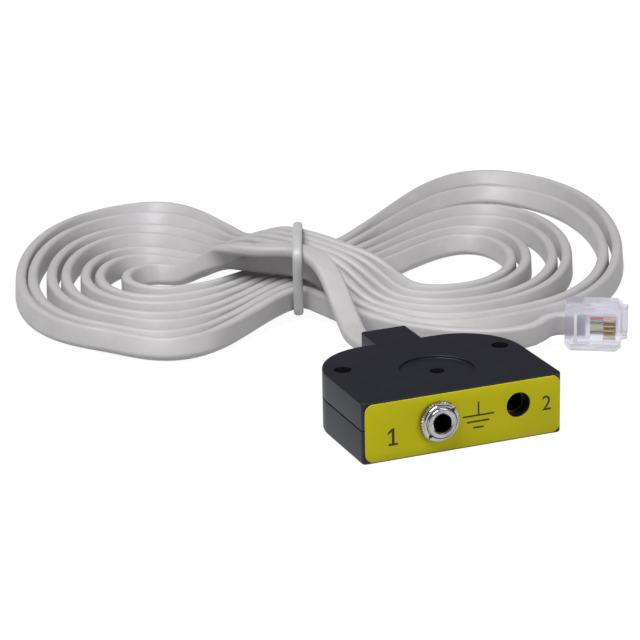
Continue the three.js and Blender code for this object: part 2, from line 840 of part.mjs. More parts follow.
// least gap of the cable to itself, on points along its core, leaving out near neighbours on the cable
function leastGap(frames) {
  const core = [];
  const half = (cableWide - cableThick) / 2;
  const pieces = 5;
  let travelled = 0;
  for (let i = 0; i < frames.length - 1; i += 1) {
    const stretch = frames[i].place.distanceTo(frames[i + 1].place);
    for (let k = 0; k < pieces; k += 1) {
      const t = k / pieces;
      const place = frames[i].place.clone().lerp(frames[i + 1].place, t);
      const way = frames[i].wideWay.clone().lerp(frames[i + 1].wideWay, t);
      [-half, 0, half].forEach((w) => {
        core.push({ point: place.clone().addScaledVector(way, w), at: travelled + stretch * t });
      });
    }
    travelled += stretch;
  }
  let least = Infinity;
  for (let i = 0; i < core.length; i += 1) {
    for (let k = i + 1; k < core.length; k += 1) {
      const isFar = core[k].at - core[i].at > 4 * cableThick;
      if (isFar) least = Math.min(least, core[i].point.distanceTo(core[k].point) - cableThick);
    }
  }
  return { least, length: travelled };
}

const hankFrames = sectionFrames(hankLine());
const measured = leastGap(hankFrames);
console.log(`hank: ${measured.length.toFixed(0)} mm of cable, least gap ${measured.least.toFixed(2)} mm`);

piece('cable_hank', hankTube(hankFrames), looks.cable);

// ---------- free stretches of the cable ----------

// from the block's back face up over the near strands, under the tie and to the crossing
const leadStart = blockBack + touchGap;
const leadRoute = [
  [12, -45.8, 6.8], [10.8, -38.5, 7.2], [9.4, -31.5, 8.6], [7.9, -25.2, 11], [6.2, -19.6, 13.3],
  [4.2, -15.2, 14.2], [2.1, -12.1, 14.5],
];
const leadLine = [
  [0, leadStart, seamHeight],
  [0, leadStart + 3, seamHeight],
  ...leadRoute.map(fromHank),
  fromHank([jointGap, lane(0) + topShift, levelTop + lift(0)]),
];

piece('cable_lead', tubeAlong(leadLine, flatSection(cableThick, cableWide), 16), looks.cable);

// from the crossing along the front of the hank and into the plug
const plugWay = THREE.MathUtils.degToRad(plugTurn);

function onPlugAxis(along) {
  return [plugX + along * Math.cos(plugWay), plugY + along * Math.sin(plugWay), plugMiddle];
}

function nearPoint([run, across]) {
  return [run, across, levelLow + lift(run) + paperGap];
}

const plugRoute = [
  [3, lane(0) - 2.3], [7, lane(0) - 6.4], [12, lane(0) - 11.5], [17, -27], [24, -31.8], [33, -35.4],
  [42, -36.4],
].map(nearPoint);
const plugLine = [
  fromHank([jointGap, lane(0) - laneSlope * jointGap, levelLow + lift(0)]),
  ...plugRoute.map(fromHank),
  fromHank([50, -36, 3.6]),
  onPlugAxis(-4),
  onPlugAxis(0),
  onPlugAxis(cableInPlug),
];

piece('cable_to_plug', tubeAlong(plugLine, flatSection(cableWide, cableThick), 20), looks.cable);

// ---------- tie round the bundle ----------

// where a line of [run, across, up] points passes a run, as [across, up, how far across it goes per run]
function crossings(line, run) {
  const found = [];
  for (let i = 0; i < line.length - 1; i += 1) {
    const [p, q] = [line[i], line[i + 1]];
    if ((p[0] - run) * (q[0] - run) <= 0 && p[0] !== q[0]) {
      const t = (run - p[0]) / (q[0] - p[0]);
      found.push([p[1] + t * (q[1] - p[1]), p[2] + t * (q[2] - p[2]), (q[1] - p[1]) / (q[0] - p[0])]);
    }
  }
  return found;
}

// corners of the cable sections at the middle and the two faces of the tie, as [across, up]
function tiedCorners() {
  const corners = [];
  const add = (line, run, halfAcross, halfUp) => {
    crossings(line, run).forEach(([across, up, slope]) => {
      const reach = halfAcross * Math.hypot(1, slope);
      [-1, 1].forEach((a) => [-1, 1].forEach((b) => corners.push([across + a * reach, up + b * halfUp])));
    });
  };
  [-tieWidth / 2, 0, tieWidth / 2].forEach((offset) => {
    add(hankLine(), tieAt + offset, cableThick / 2, cableWide / 2);
    add([[jointGap, lane(0) - laneSlope * jointGap, levelLow + lift(0)], ...plugRoute], tieAt + offset, cableThick / 2, cableWide / 2);
    add([...leadRoute, [jointGap, lane(0) + topShift, levelTop + lift(0)]], tieAt + offset,
      cableWide / 2 + leadMargin / 2, cableThick / 2 + leadMargin);
  });
  return corners;
}

// outer boundary of a set of points, going round to the left
function hull(points) {
  const sorted = [...points].sort((p, q) => p[0] - q[0] || p[1] - q[1]);
  const turn = (o, p, q) => (p[0] - o[0]) * (q[1] - o[1]) - (p[1] - o[1]) * (q[0] - o[0]);
  const side = (list) => {
    const kept = [];
    list.forEach((point) => {
      while (kept.length > 1 && turn(kept[kept.length - 2], kept[kept.length - 1], point) <= 0) kept.pop();
      kept.push(point);
    });
    return kept.slice(0, -1);
  };
  return [...side(sorted), ...side(sorted.reverse())];
}

// places on the hull's corners, each with a direction that points away from the bundle
function tiePath() {
  const outline = hull(tiedCorners());
  const path = [];
  outline.forEach((point, i) => {
    const before = outline[(i + outline.length - 1) % outline.length];
    const after = outline[(i + 1) % outline.length];
    const first = Math.atan2(before[0] - point[0], point[1] - before[1]) + Math.PI;
    const last = Math.atan2(point[0] - after[0], after[1] - point[1]) + Math.PI;
    const bend = (last - first + 4 * Math.PI) % (2 * Math.PI);
    const parts = Math.max(1, Math.ceil(bend / 0.45));
    for (let k = 0; k <= parts; k += 1) {
      const angle = first + (bend * k) / parts;
      path.push({ across: point[0], up: point[1], away: [-Math.cos(angle), -Math.sin(angle)] });
    }
  });
  return path;
}

function hankTie() {
  const path = tiePath();
  const a = tieWidth / 2;
  const inner = touchGap;
  const outer = touchGap + tieThick;
  const ring = [
    [-a, inner], [a, inner], [a, outer - 0.2], [a - 0.4, outer], [-a + 0.4, outer], [-a, outer - 0.2],
  ];
  const positions = [];
  const index = [];
  path.forEach(({ across, up, away }, i) => {
    ring.forEach(([run, out]) => {
      positions.push(...fromHank([tieAt + run, across + away[0] * out, up + away[1] * out]));
    });
    const next = ((i + 1) % path.length) * ring.length;
    for (let k = 0; k < ring.length; k += 1) {
      const p = i * ring.length + k;
      const q = i * ring.length + ((k + 1) % ring.length);
      const r = next + k;
      const s = next + ((k + 1) % ring.length);
      index.push(p, q, r, q, s, r);
    }
  });
  const geometry = new THREE.BufferGeometry();
  geometry.setAttribute('position', new THREE.Float32BufferAttribute(positions, 3));
  geometry.setIndex(index);
  return geometry;
}

piece('hank_tie', hankTie(), looks.tie);

export default remoteBox;
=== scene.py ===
import math
import bmesh
import bpy
import numpy as np
from mathutils import Euler, Matrix, Vector


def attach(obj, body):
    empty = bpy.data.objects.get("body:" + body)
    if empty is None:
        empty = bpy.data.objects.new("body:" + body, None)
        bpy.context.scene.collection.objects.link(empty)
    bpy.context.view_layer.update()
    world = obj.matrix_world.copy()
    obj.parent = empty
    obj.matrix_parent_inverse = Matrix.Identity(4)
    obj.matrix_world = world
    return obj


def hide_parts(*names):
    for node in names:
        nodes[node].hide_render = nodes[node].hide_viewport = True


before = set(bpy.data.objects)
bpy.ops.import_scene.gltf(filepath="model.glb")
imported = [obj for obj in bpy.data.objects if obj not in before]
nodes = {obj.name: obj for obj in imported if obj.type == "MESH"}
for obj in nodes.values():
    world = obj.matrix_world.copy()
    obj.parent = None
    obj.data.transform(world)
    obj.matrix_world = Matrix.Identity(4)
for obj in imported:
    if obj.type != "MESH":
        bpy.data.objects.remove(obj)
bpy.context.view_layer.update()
print("frame loaded:", len(nodes), "nodes")

# Shapes are drawn in millimetres with the front face at y 0; this puts them in the frame, in metres.
frontShift = -17.675
toFrame = Matrix.Diagonal((0.001, 0.001, 0.001, 1)) @ Matrix.Translation((0, frontShift, 0))


def place(x, y, z):
    return tuple(toFrame @ Vector((x, y, z)))


# Camera: the photograph's viewing angle
camera = {"azimuth": -21.7337, "elevation": 18.8004, "roll": -1.2048, "distance": 543.67,
          "target": (-2.679, 64.738, 6.0), "focal": 2606.06 / 640 * 36}


def makeCamera():
    azimuth, elevation, roll = (math.radians(camera[key]) for key in ("azimuth", "elevation", "roll"))
    right = Vector((math.cos(azimuth), math.sin(azimuth), 0))
    back = Vector((math.sin(azimuth) * math.cos(elevation), -math.cos(azimuth) * math.cos(elevation),
                   math.sin(elevation)))
    up = back.cross(right)
    turnedRight = right * math.cos(roll) + up * math.sin(roll)
    turnedUp = up * math.cos(roll) - right * math.sin(roll)
    spot = Vector(place(*camera["target"])) + back * camera["distance"] * 0.001
    lens = bpy.data.cameras.new("camera")
    lens.lens = camera["focal"]
    lens.sensor_width = 36
    lens.clip_start = 0.01
    viewer = bpy.data.objects.new("camera", lens)
    bpy.context.scene.collection.objects.link(viewer)
    viewer.matrix_world = Matrix.Translation(spot) @ Matrix(
        (turnedRight, turnedUp, back)).transposed().to_4x4()
    bpy.context.scene.camera = viewer


makeCamera()
print("camera set")

# How the cable lies, in millimetres. The outermost lobes are a little smaller than the solids' ones, so that
# the leaning cable stays inside their box.
cable = {"wide": 4.9, "thick": 2.4, "corner": 0.95, "step": 2.0, "fineStep": 0.5, "sides": 6,
         "soften": 2.2, "tailStart": 30.8, "blockBack": 37.75, "seam": 6.649}
hank = {"x": 4.797, "y": 95.797, "turn": math.radians(-21.73), "turns": 6, "lane": 3.95, "shift": 0.6,
        "slope": 0.8, "rest": 0.05, "rise": 5.7, "climb": 11, "tieAt": 0, "tieLift": 2.15, "tieRun": 20,
        "topShift": 1.6, "samples": 60, "tiltFrom": 10, "tiltOver": 14, "farTilt": 1.3, "fanOver": 25,
        "flatOver": 11, "plugLift": 0.05}
lobes = {
    "leftReach": (38.5, 44.3, 47.6, 52, 55.3, 59.6, 62.4),
    "leftFar": (18, 27, 33, 43.5, 49, 58.4, 65.8),
    "leftNear": (-6.5, -12.4, -15.7, -21.8, -25.1, -31.2, -34.5),
    "rightReach": (73.2, 69.6, 61, 57.5, 51.5, 48),
    "rightFar": (91.5, 77.5, 63, 54.5, 46, 38.5),
    "rightNear": (-29, -25.4, -20.6, -17.2, -12.4, -8.8),
    "leftTilt": (40, 38, 38, 38, 38, 38, 38),
    "rightTilt": (44, 40, 38, 36, 36, 36),
}
halves = {  # where a half of a lobe starts to open, where it has, how its lanes fan, how it eases
    "leftFar": (4, 46, 9, 0),
    "leftNear": (2, 42, 12, 0),
    "rightFar": (3, 58, 10, 0),
    "rightNear": (4, 52, 60, 0.0034),
}
route = {
    "block": (34.5, 38.05, 41.05),  # straight back through the block
    # the rest along the hank, across it and up: onto the crossing, then from it along the floor to the plug
    "lead": ((12, -45.8, 6.8), (10.8, -38.5, 7.2), (9.4, -31.5, 8.6), (7.9, -25.2, 11), (6.2, -19.6, 13.3),
             (4.2, -15.2, 14.2), (2.1, -12.1, 14.5)),
    "leave": ((3, -2.3), (7, -6.4), (12, -11.5)),
    "floor": ((17, -27), (24, -31.8), (33, -35.4), (42, -36.4)),
    "rise": (50, -36, 3.6),
}
levelLow = hank["rest"] + cable["wide"] / 2
levelHigh = levelLow + hank["rise"]
levelTop = levelHigh + cable["wide"] / 2 + cable["thick"] / 2 + 0.45
plug = {"x": 44, "y": 44, "turn": math.radians(-31), "long": 11.6, "wide": 9.65, "thick": 6.6,
        "noseReach": 1.2, "noseWide": 6.2, "pitch": 1.02, "cableIn": 4.7}


def ease(value):
    t = min(1.0, max(0.0, value))
    return t * t * (3 - 2 * t)


def fromHank(run, across, up, lean=0.0):
    c, s = math.cos(hank["turn"]), math.sin(hank["turn"])
    return (hank["x"] + run * c - across * s, hank["y"] + run * s + across * c, up, lean)


def lane(i):
    return (i - hank["turns"] / 2) * hank["lane"] + hank["shift"]


def lift(run):
    return hank["tieLift"] * (1 - ease(abs(run - hank["tieAt"]) / hank["tieRun"]))


def clearRun(lanesOver):
    return (lanesOver * hank["lane"] + cable["thick"] + 0.45) / (2 * hank["slope"]) + 0.6


def lobePoint(side, reach, far, near, tilt, clear, laneIn, laneOut, angle):
    run = reach * math.sin(angle)
    isFar = math.cos(angle) > 0
    start, opens, fan, relief = halves[("left" if side < 0 else "right") + ("Far" if isFar else "Near")]
    profile = math.sin(math.pi / 2 * math.cos(angle))
    opened = ease((run - start) / (min(opens, 0.95 * reach) - start))
    loop = (far + near) / 2 + (far - near) / 2 * profile
    strand = laneIn + (laneOut - laneIn) * ease(1.5 * angle / math.pi - 0.25)
    fanned = (strand - hank["shift"]) * run * run / ((run + hank["fanOver"]) * fan)
    waist = strand + fanned + profile * (hank["slope"] * run - relief * run * run)
    raised = isFar if side < 0 else not isFar
    drop = ease((run - clear) / hank["climb"]) if raised else 1
    lean = -math.radians(tilt) * math.cos(angle) * ease((run - hank["tiltFrom"]) / hank["tiltOver"])
    if isFar:
        lean = lean * hank["farTilt"]
    height = levelHigh - hank["rise"] * drop + lift(side * run) - sunk(lean)
    return side * run, waist * (1 - opened) + loop * opened, height, -side * lean


def sunk(lean):  # how much lower a leaning cable lies than one on edge
    corner = cable["corner"]
    wide, thin = cable["wide"] / 2 - corner, cable["thick"] / 2 - corner
    return wide - wide * math.cos(lean) - thin * abs(math.sin(lean))


# the first strand comes down from the top of the bundle, where it lies flat
def fromTop(run, across, up, tilt):
    away, over = -run, hank["flatOver"]
    height = up + (levelTop + lift(run) - up) * (1 - ease((away - over) / over))
    shift = hank["topShift"] * (1 - ease(away / 8))
    flatShare = 1 - ease((away - over + 1) / over)
    return run, across + shift, height, math.pi / 2 * flatShare + tilt * (1 - flatShare)


def hankPoints():
    points = []
    last = hank["turns"]
    for i in range(last + 1):
        left = (-1, lobes["leftReach"][i], lobes["leftFar"][i], lobes["leftNear"][i], lobes["leftTilt"][i],
                clearRun(last - i), lane(i), lane(last - i))
        right = (1, lobes["rightReach"][i], lobes["rightFar"][i], lobes["rightNear"][i],
                 lobes["rightTilt"][i], clearRun(i), lane(last - i), lane(i + 1)) if i < last else None
        for lobe in (left, right) if right else (left,):
            for k in range(1 if points else 0, hank["samples"] + 1):
                angle = math.pi * k / hank["samples"]
                point = lobePoint(*lobe, angle)
                isTop = i == 0 and lobe is left and angle < math.pi / 2
                points.append(fromHank(*(fromTop(*point) if isTop else point)))
    return points


def catmull(points, pieces=8):  # a smooth line through all but the first and last point
    line = []
    p = np.array(points, float)
    for i in range(1, len(p) - 2):
        for k in range(pieces):
            t = k / pieces
            line.append(0.5 * (2 * p[i] + (p[i + 1] - p[i - 1]) * t
                               + (2 * p[i - 1] - 5 * p[i] + 4 * p[i + 1] - p[i + 2]) * t ** 2
                               + (3 * p[i] - p[i - 1] - 3 * p[i + 1] + p[i + 2]) * t ** 3))
    return line


def onPlugAxis(along):
    return (plug["x"] + along * math.cos(plug["turn"]), plug["y"] + along * math.sin(plug["turn"]),
            plug["wide"] / 2, 0)


def cableLine():
    flat = math.pi / 2
    seam = cable["seam"]
    turns = hankPoints()
    lead = [(0, y, seam, flat) for y in (cable["tailStart"] - 3, cable["tailStart"], *route["block"])]
    lead += [fromHank(run, across, up, flat) for run, across, up in route["lead"]]
    toPlug = [turns[-4], turns[-1]]
    alongFloor = [(run, lane(0) + across) for run, across in route["leave"]] + list(route["floor"])
    toPlug += [fromHank(run, across, levelLow + lift(run) + hank["plugLift"]) for run, across in alongFloor]
    toPlug += [fromHank(*route["rise"])]
    toPlug += [onPlugAxis(along) for along in (-4, 0, plug["cableIn"], plug["cableIn"] + 4)]
    return np.array(catmull(lead + [turns[0], turns[2]]) + turns[:-1] + catmull(toPlug))


def evenly(line, step):
    at = np.concatenate(([0], np.cumsum(np.linalg.norm(np.diff(line[:, :3], axis=0), axis=1))))
    count = int(round(at[-1] / step))
    wanted = np.linspace(0, at[-1], count + 1)
    return np.stack([np.interp(wanted, at, line[:, k]) for k in range(line.shape[1])], axis=1)


def soften(line, width, step):  # a running average that keeps both ends
    reach = int(3 * width / step)
    weights = np.exp(-0.5 * (np.arange(-reach, reach + 1) * step / width) ** 2)
    weights /= weights.sum()
    ends = [2 * line[0] - line[reach:0:-1], line, 2 * line[-1] - line[-2:-reach - 2:-1]]
    padded = np.concatenate(ends)
    return np.stack([np.convolve(padded[:, k], weights, "valid") for k in range(line.shape[1])], axis=1)


def cableRings():  # along the cable: its middle, and the directions of its wide and thin ways
    line = evenly(cableLine(), cable["fineStep"])
    line = evenly(soften(line, cable["soften"], cable["fineStep"]), cable["step"])
    middle, lean = line[:, :3], line[:, 3:]
    along = np.gradient(middle, axis=0)
    along /= np.linalg.norm(along, axis=1)[:, None]
    level = np.cross((0, 0, 1), along)
    level /= np.linalg.norm(level, axis=1)[:, None]
    upright = np.cross(along, level)
    wideWay = upright * np.cos(lean) + level * np.sin(lean)
    return middle, wideWay, np.cross(along, wideWay)


def cableSection():  # points of the flat section, as wide and thin offsets
    a, b, r = cable["wide"] / 2, cable["thick"] / 2, cable["corner"]
    section = []
    for wide, thin, start in ((a - r, b - r, 0), (r - a, b - r, 1), (r - a, r - b, 2), (a - r, r - b, 3)):
        for k in range(cable["sides"]):
            angle = math.pi / 2 * (start + k / (cable["sides"] - 1))
            section.append((wide + r * math.cos(angle), thin + r * math.sin(angle)))
    return np.array(section)


def cableSkin():  # the section's points at each ring
    section = cableSection()
    return [middle + section[:, :1] * wide + section[:, 1:] * thin
            for middle, wide, thin in zip(cableMiddle, cableWideWay, cableThinWay)]


cableMiddle, cableWideWay, cableThinWay = cableRings()


# Finishes
def colour(red, green, blue):  # from 0-255 as seen to the shader's linear values
    linear = [c / 12.92 if c <= 0.04045 else ((c + 0.055) / 1.055) ** 2.4
              for c in (red / 255, green / 255, blue / 255)]
    return (*linear, 1)


class Field:  # a socket, so that shader maths reads as maths
    def __init__(self, finish, socket):
        self.finish = finish
        self.socket = socket

    def combine(self, operation, first, second):
        return self.finish.node("ShaderNodeMath", {"operation": operation}, first, second)

    def __add__(self, other):
        return self.combine("ADD", self, other)

    def __mul__(self, other):
        return self.combine("MULTIPLY", self, other)

    __radd__ = __add__
    __rmul__ = __mul__


class Finish:
    def __init__(self, name, **fixed):
        self.material = bpy.data.materials.new(name)
        self.material.use_nodes = True
        self.tree = self.material.node_tree
        self.shader = self.tree.nodes["Principled BSDF"]
        for socket, value in fixed.items():
            self.shader.inputs[socket.replace("_", " ")].default_value = value

    def node(self, kind, settings, *values, output=0, **named):
        made = self.tree.nodes.new(kind)
        for key, value in settings.items():
            if key == "stops":
                self.setStops(made.color_ramp, value)
            else:
                setattr(made, key, value)
        for i, value in enumerate(values):
            self.feed(made.inputs[i], value)
        for socket, value in named.items():
            self.feed(made.inputs[socket], value)
        return Field(self, made.outputs[output])

    def feed(self, socket, value):
        if isinstance(value, Field):
            self.tree.links.new(value.socket, socket)
        elif value is not None:
            socket.default_value = value

    def setStops(self, ramp, stops):
        while len(ramp.elements) > len(stops):
            ramp.elements.remove(ramp.elements[-1])
        while len(ramp.elements) < len(stops):
            ramp.elements.new(1)
        for element, (position, grey) in zip(ramp.elements, stops):
            element.position = position
            element.color = (grey, grey, grey, 1)

    def where(self, kind="Object", stretch=(1, 1, 1)):
        coordinates = self.node("ShaderNodeTexCoord", {}, output=kind)
        return self.node("ShaderNodeMapping", {}, coordinates, Scale=stretch)

    def noise(self, spot, scale, detail=3.0, rough=0.55):
        return self.node("ShaderNodeTexNoise", {}, Vector=spot, Scale=scale, Detail=detail, Roughness=rough)

    def ramp(self, factor, *stops):
        return self.node("ShaderNodeValToRGB", {"stops": stops}, factor)

    def blend(self, factor, first, second):
        mix = self.tree.nodes.new("ShaderNodeMix")
        mix.data_type = "RGBA"
        for index, value in ((0, factor), (6, first), (7, second)):
            self.feed(mix.inputs[index], value)
        return Field(self, mix.outputs[2])

    def bump(self, height, strength, distance, after=None):
        return self.node("ShaderNodeBump", {}, Height=height, Strength=strength, Distance=distance,
                         Normal=after)

    def shade(self, **fields):
        for socket, value in fields.items():
            self.feed(self.shader.inputs[socket.replace("_", " ")], value)
        return self.material


def mouldedFinish(name, main, worn, rough, grain=0.00002, grainScale=5200, **fixed):  # a fine moulded grain
    finish = Finish(name, **fixed)
    spot = finish.where()
    cloud = finish.noise(spot, 160, 4)
    fine = finish.noise(spot, grainScale, 2, 0.6)
    tint = finish.blend(finish.ramp(cloud, (0.35, 0), (0.7, 1)), colour(*main), colour(*worn))
    return finish.shade(Base_Color=tint, Roughness=rough - 0.06 + 0.12 * fine,
                        Normal=finish.bump(fine, 0.35, grain))


def metalFinish(name, main, stained, rough, lines, **fixed):  # plated metal with faint turning lines
    finish = Finish(name, Metallic=1.0, **fixed)
    spot = finish.where(stretch=lines)
    line = finish.noise(spot, 2600, 3, 0.6)
    cloud = finish.noise(finish.where(), 420, 3)
    tint = finish.blend(finish.ramp(cloud, (0.4, 0), (0.75, 1)), colour(*main), colour(*stained))
    return finish.shade(Base_Color=tint, Roughness=rough - 0.05 + 0.12 * line,
                        Normal=finish.bump(line, 0.12, 0.00002))


def jacketFinish(name, main, shade, rough, **fixed):  # soft jacket, drawn along its length
    finish = Finish(name, **fixed)
    spot = finish.where("UV", (1, 7, 1))
    drawn = finish.noise(spot, 2.2, 4)
    cloud = finish.noise(finish.where(), 55, 2)
    fine = finish.noise(finish.where(), 3800, 2)
    tint = finish.blend(finish.ramp(0.45 * drawn + 0.55 * cloud, (0.35, 0), (0.65, 1)),
                        colour(*main), colour(*shade))
    height = 0.75 * drawn + 0.25 * fine
    return finish.shade(Base_Color=tint, Roughness=rough - 0.06 + 0.14 * drawn,
                        Normal=finish.bump(height, 0.2, 0.00004))


def filmFinish(name, main, deep, rough):  # printed film with a faint even texture
    finish = Finish(name, Specular_IOR_Level=0.2)
    spot = finish.where()
    pebble = finish.noise(spot, 6500, 1, 0.4)
    cloud = finish.noise(spot, 90, 2)
    tint = finish.blend(finish.ramp(cloud, (0.35, 0), (0.7, 1)), colour(*main), colour(*deep))
    return finish.shade(Base_Color=tint, Roughness=rough - 0.03 + 0.08 * pebble,
                        Normal=finish.bump(pebble, 0.2, 0.000015))


def clearFinish(name):  # clear moulded plastic, a little cloudy
    finish = Finish(name, Transmission_Weight=0.84, IOR=1.4, Specular_IOR_Level=0.5, Alpha=0.72)
    spot = finish.where()
    flow = finish.noise(spot, 700, 3)
    tint = finish.blend(finish.ramp(flow, (0.3, 0), (0.75, 1)), colour(238, 236, 246), colour(226, 224, 237))
    return finish.shade(Base_Color=tint, Roughness=0.03 + 0.08 * flow, Normal=finish.bump(flow, 0.08, 0.00003))


def wireFinish(name, main, deep):
    return mouldedFinish(name, main, deep, 0.36, 0.00001, 7000)


finishes = {
    "shell": mouldedFinish("shell_plastic", (22, 21, 28), (27, 26, 34), 0.5, Specular_IOR_Level=0.46,
                           Specular_Tint=(0.72, 0.8, 1, 1)),
    "label": filmFinish("label_film", (204, 197, 8), (199, 191, 6), 0.38),
    "ink": filmFinish("label_ink", (58, 56, 22), (66, 63, 26), 0.42),
    "nickel": metalFinish("nickel_plate", (182, 181, 184), (150, 147, 143), 0.18, (1, 5, 1)),
    "steel": metalFinish("zinc_plate", (176, 177, 180), (158, 158, 158), 0.34, (1, 1, 6)),
    "brass": metalFinish("brass_contact", (128, 102, 56), (100, 78, 42), 0.38, (1, 5, 1)),
    "gold": metalFinish("gold_plate", (208, 176, 112), (186, 150, 88), 0.26, (1, 1, 5)),
    "dark_plastic": mouldedFinish("inner_plastic", (12, 12, 13), (17, 17, 18), 0.6, Specular_IOR_Level=0.15),
    "cable": jacketFinish("cable_jacket", (191, 189, 191), (180, 177, 178), 0.46),
    "tie": mouldedFinish("tie_plastic", (202, 202, 203), (192, 191, 191), 0.42, 0.00001, 4200),
    # near-white: a painted highlight for the bright slot in the plug, carried by its strain bar
    "bar": mouldedFinish("strain_bar_painted_highlight", (246, 246, 250), (240, 240, 245), 0.35, 0.00001, 4600),
    "clear_plastic": clearFinish("clear_plastic"),
    "red_wire": wireFinish("red_wire", (196, 14, 26), (180, 10, 22)),
    "green_wire": wireFinish("green_wire", (6, 106, 66), (4, 90, 56)),
    "yellow_wire": wireFinish("yellow_wire", (232, 222, 30), (220, 206, 22)),
    "black_wire": wireFinish("black_wire", (30, 30, 33), (24, 24, 26)),
}
print("finishes made:", len(finishes))


# Shapes
def meshPiece(name, points, faces):
    mesh = bpy.data.meshes.new(name)
    mesh.from_pydata([tuple(point) for point in points], [], faces)
    mesh.update()
    piece = bpy.data.objects.new(name, mesh)
    bpy.context.scene.collection.objects.link(piece)
    return piece


def loft(name, rings, closed=False):  # a skin over rings of equal counts, with its two ends closed
    count = len(rings[0])
    points = [point for ring in rings for point in ring]
    faces = []
    layers = len(rings) if closed else len(rings) - 1
    for i in range(layers):
        low, high = i * count, (i + 1) % len(rings) * count
        for k in range(count):
            n = (k + 1) % count
            faces.append((low + k, low + n, high + n, high + k))
    if not closed:
        faces.append(tuple(reversed(range(count))))
        faces.append(tuple(range((len(rings) - 1) * count, len(rings) * count)))
    piece = meshPiece(name, points, faces)
    outward(piece)
    return piece


def outward(piece):
    shape = bmesh.new()
    shape.from_mesh(piece.data)
    bmesh.ops.remove_doubles(shape, verts=shape.verts, dist=1e-5)
    bmesh.ops.recalc_face_normals(shape, faces=shape.faces)
    shape.to_mesh(piece.data)
    shape.free()


def bake(piece):  # turns what the modifiers make into the piece's own plain mesh
    graph = bpy.context.evaluated_depsgraph_get()
    graph.update()
    mesh = bpy.data.meshes.new_from_object(piece.evaluated_get(graph))
    piece.modifiers.clear()
    piece.data = mesh
    mesh.name = piece.name


def shaped(piece, tool, operation):
    modifier = piece.modifiers.new("shape", "BOOLEAN")
    modifier.operation = operation
    modifier.solver = "EXACT"
    modifier.object = tool
    bake(piece)
    bpy.data.objects.remove(tool)


def carve(piece, *tools):
    for tool in tools:
        shaped(piece, tool, "DIFFERENCE")


def join(piece, *tools):
    for tool in tools:
        shaped(piece, tool, "UNION")


def softenEdges(piece, width, segments=2, angle=40):
    modifier = piece.modifiers.new("edges", "BEVEL")
    modifier.width = width
    modifier.segments = segments
    modifier.limit_method = "ANGLE"
    modifier.angle_limit = math.radians(angle)
    modifier.miter_outer = "MITER_ARC"
    bake(piece)


def brick(x0, x1, y0, y1, z0, z1):
    corners = [(x0, y0), (x1, y0), (x1, y1), (x0, y1)]
    return loft("brick", [[(x, y, z) for x, y in corners] for z in (z0, z1)])


def circle(radius, sides, x=0.0, y=0.0, z=0.0):
    angles = [2 * math.pi * k / sides for k in range(sides)]
    return [(x + radius * math.cos(a), y + radius * math.sin(a), z) for a in angles]


def post(x, y, profile, sides=48):  # rings of (radius, z) round an upright axis
    return loft("post", [circle(radius, sides, x, y, z) for radius, z in profile])


def spindle(name, x, z, profile, sides=96, closed=False):  # rings of (radius, y) round an axis along Y
    rings = []
    for radius, y in profile:
        rings.append([(x + px, y, z + pz) for px, pz, _ in circle(radius, sides)])
    return loft(name, rings, closed)


def settle(piece, body, slot, replaced=(), smooth=32, finish=None, placeMatrix=None):
    if placeMatrix:
        piece.data.transform(placeMatrix)
    piece.data.transform(toFrame)
    piece.data.materials.clear()
    piece.data.materials.append(finishes[finish or slot])
    piece.data.shade_smooth()
    piece.data.set_sharp_from_angle(angle=math.radians(smooth))
    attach(piece, body)
    if replaced:
        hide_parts(*replaced)
    return piece


# a tree that repeats a shape: along a step, or turned about the Y axis
def repeatTree():
    tree = bpy.data.node_groups.new("repeat", "GeometryNodeTree")
    sockets = tree.interface
    sockets.new_socket(name="Geometry", in_out="INPUT", socket_type="NodeSocketGeometry")
    sockets.new_socket(name="Count", in_out="INPUT", socket_type="NodeSocketInt")
    sockets.new_socket(name="Step", in_out="INPUT", socket_type="NodeSocketVector")
    sockets.new_socket(name="Turn", in_out="INPUT", socket_type="NodeSocketFloat")
    sockets.new_socket(name="Finish", in_out="INPUT", socket_type="NodeSocketMaterial")
    sockets.new_socket(name="Geometry", in_out="OUTPUT", socket_type="NodeSocketGeometry")
    entry = tree.nodes.new("NodeGroupInput")
    leave = tree.nodes.new("NodeGroupOutput")
    line = tree.nodes.new("GeometryNodeMeshLine")
    index = tree.nodes.new("GeometryNodeInputIndex")
    angle = tree.nodes.new("ShaderNodeMath")
    angle.operation = "MULTIPLY"
    turn = tree.nodes.new("ShaderNodeCombineXYZ")
    copies = tree.nodes.new("GeometryNodeInstanceOnPoints")
    real = tree.nodes.new("GeometryNodeRealizeInstances")
    paint = tree.nodes.new("GeometryNodeSetMaterial")
    for source, target in (
            (entry.outputs["Count"], line.inputs["Count"]), (entry.outputs["Step"], line.inputs["Offset"]),
            (index.outputs[0], angle.inputs[0]), (entry.outputs["Turn"], angle.inputs[1]),
            (angle.outputs[0], turn.inputs["Y"]), (turn.outputs[0], copies.inputs["Rotation"]),
            (line.outputs["Mesh"], copies.inputs["Points"]),
            (entry.outputs["Geometry"], copies.inputs["Instance"]),
            (copies.outputs["Instances"], real.inputs["Geometry"]),
            (real.outputs["Geometry"], paint.inputs["Geometry"]),
            (entry.outputs["Finish"], paint.inputs["Material"]),
            (paint.outputs["Geometry"], leave.inputs["Geometry"])):
        tree.links.new(source, target)
    return tree


repeated = repeatTree()


def repeat(piece, count, finish, step=(0, 0, 0), turn=0.0):
    modifier = piece.modifiers.new("repeat", "NODES")
    modifier.node_group = repeated
    values = {"Count": count, "Step": step, "Turn": turn, "Finish": finishes[finish]}
    for item in repeated.interface.items_tree:
        if item.item_type == "SOCKET" and item.in_out == "INPUT" and item.name in values:
            modifier[item.identifier] = values[item.name]
    bake(piece)
    return piece


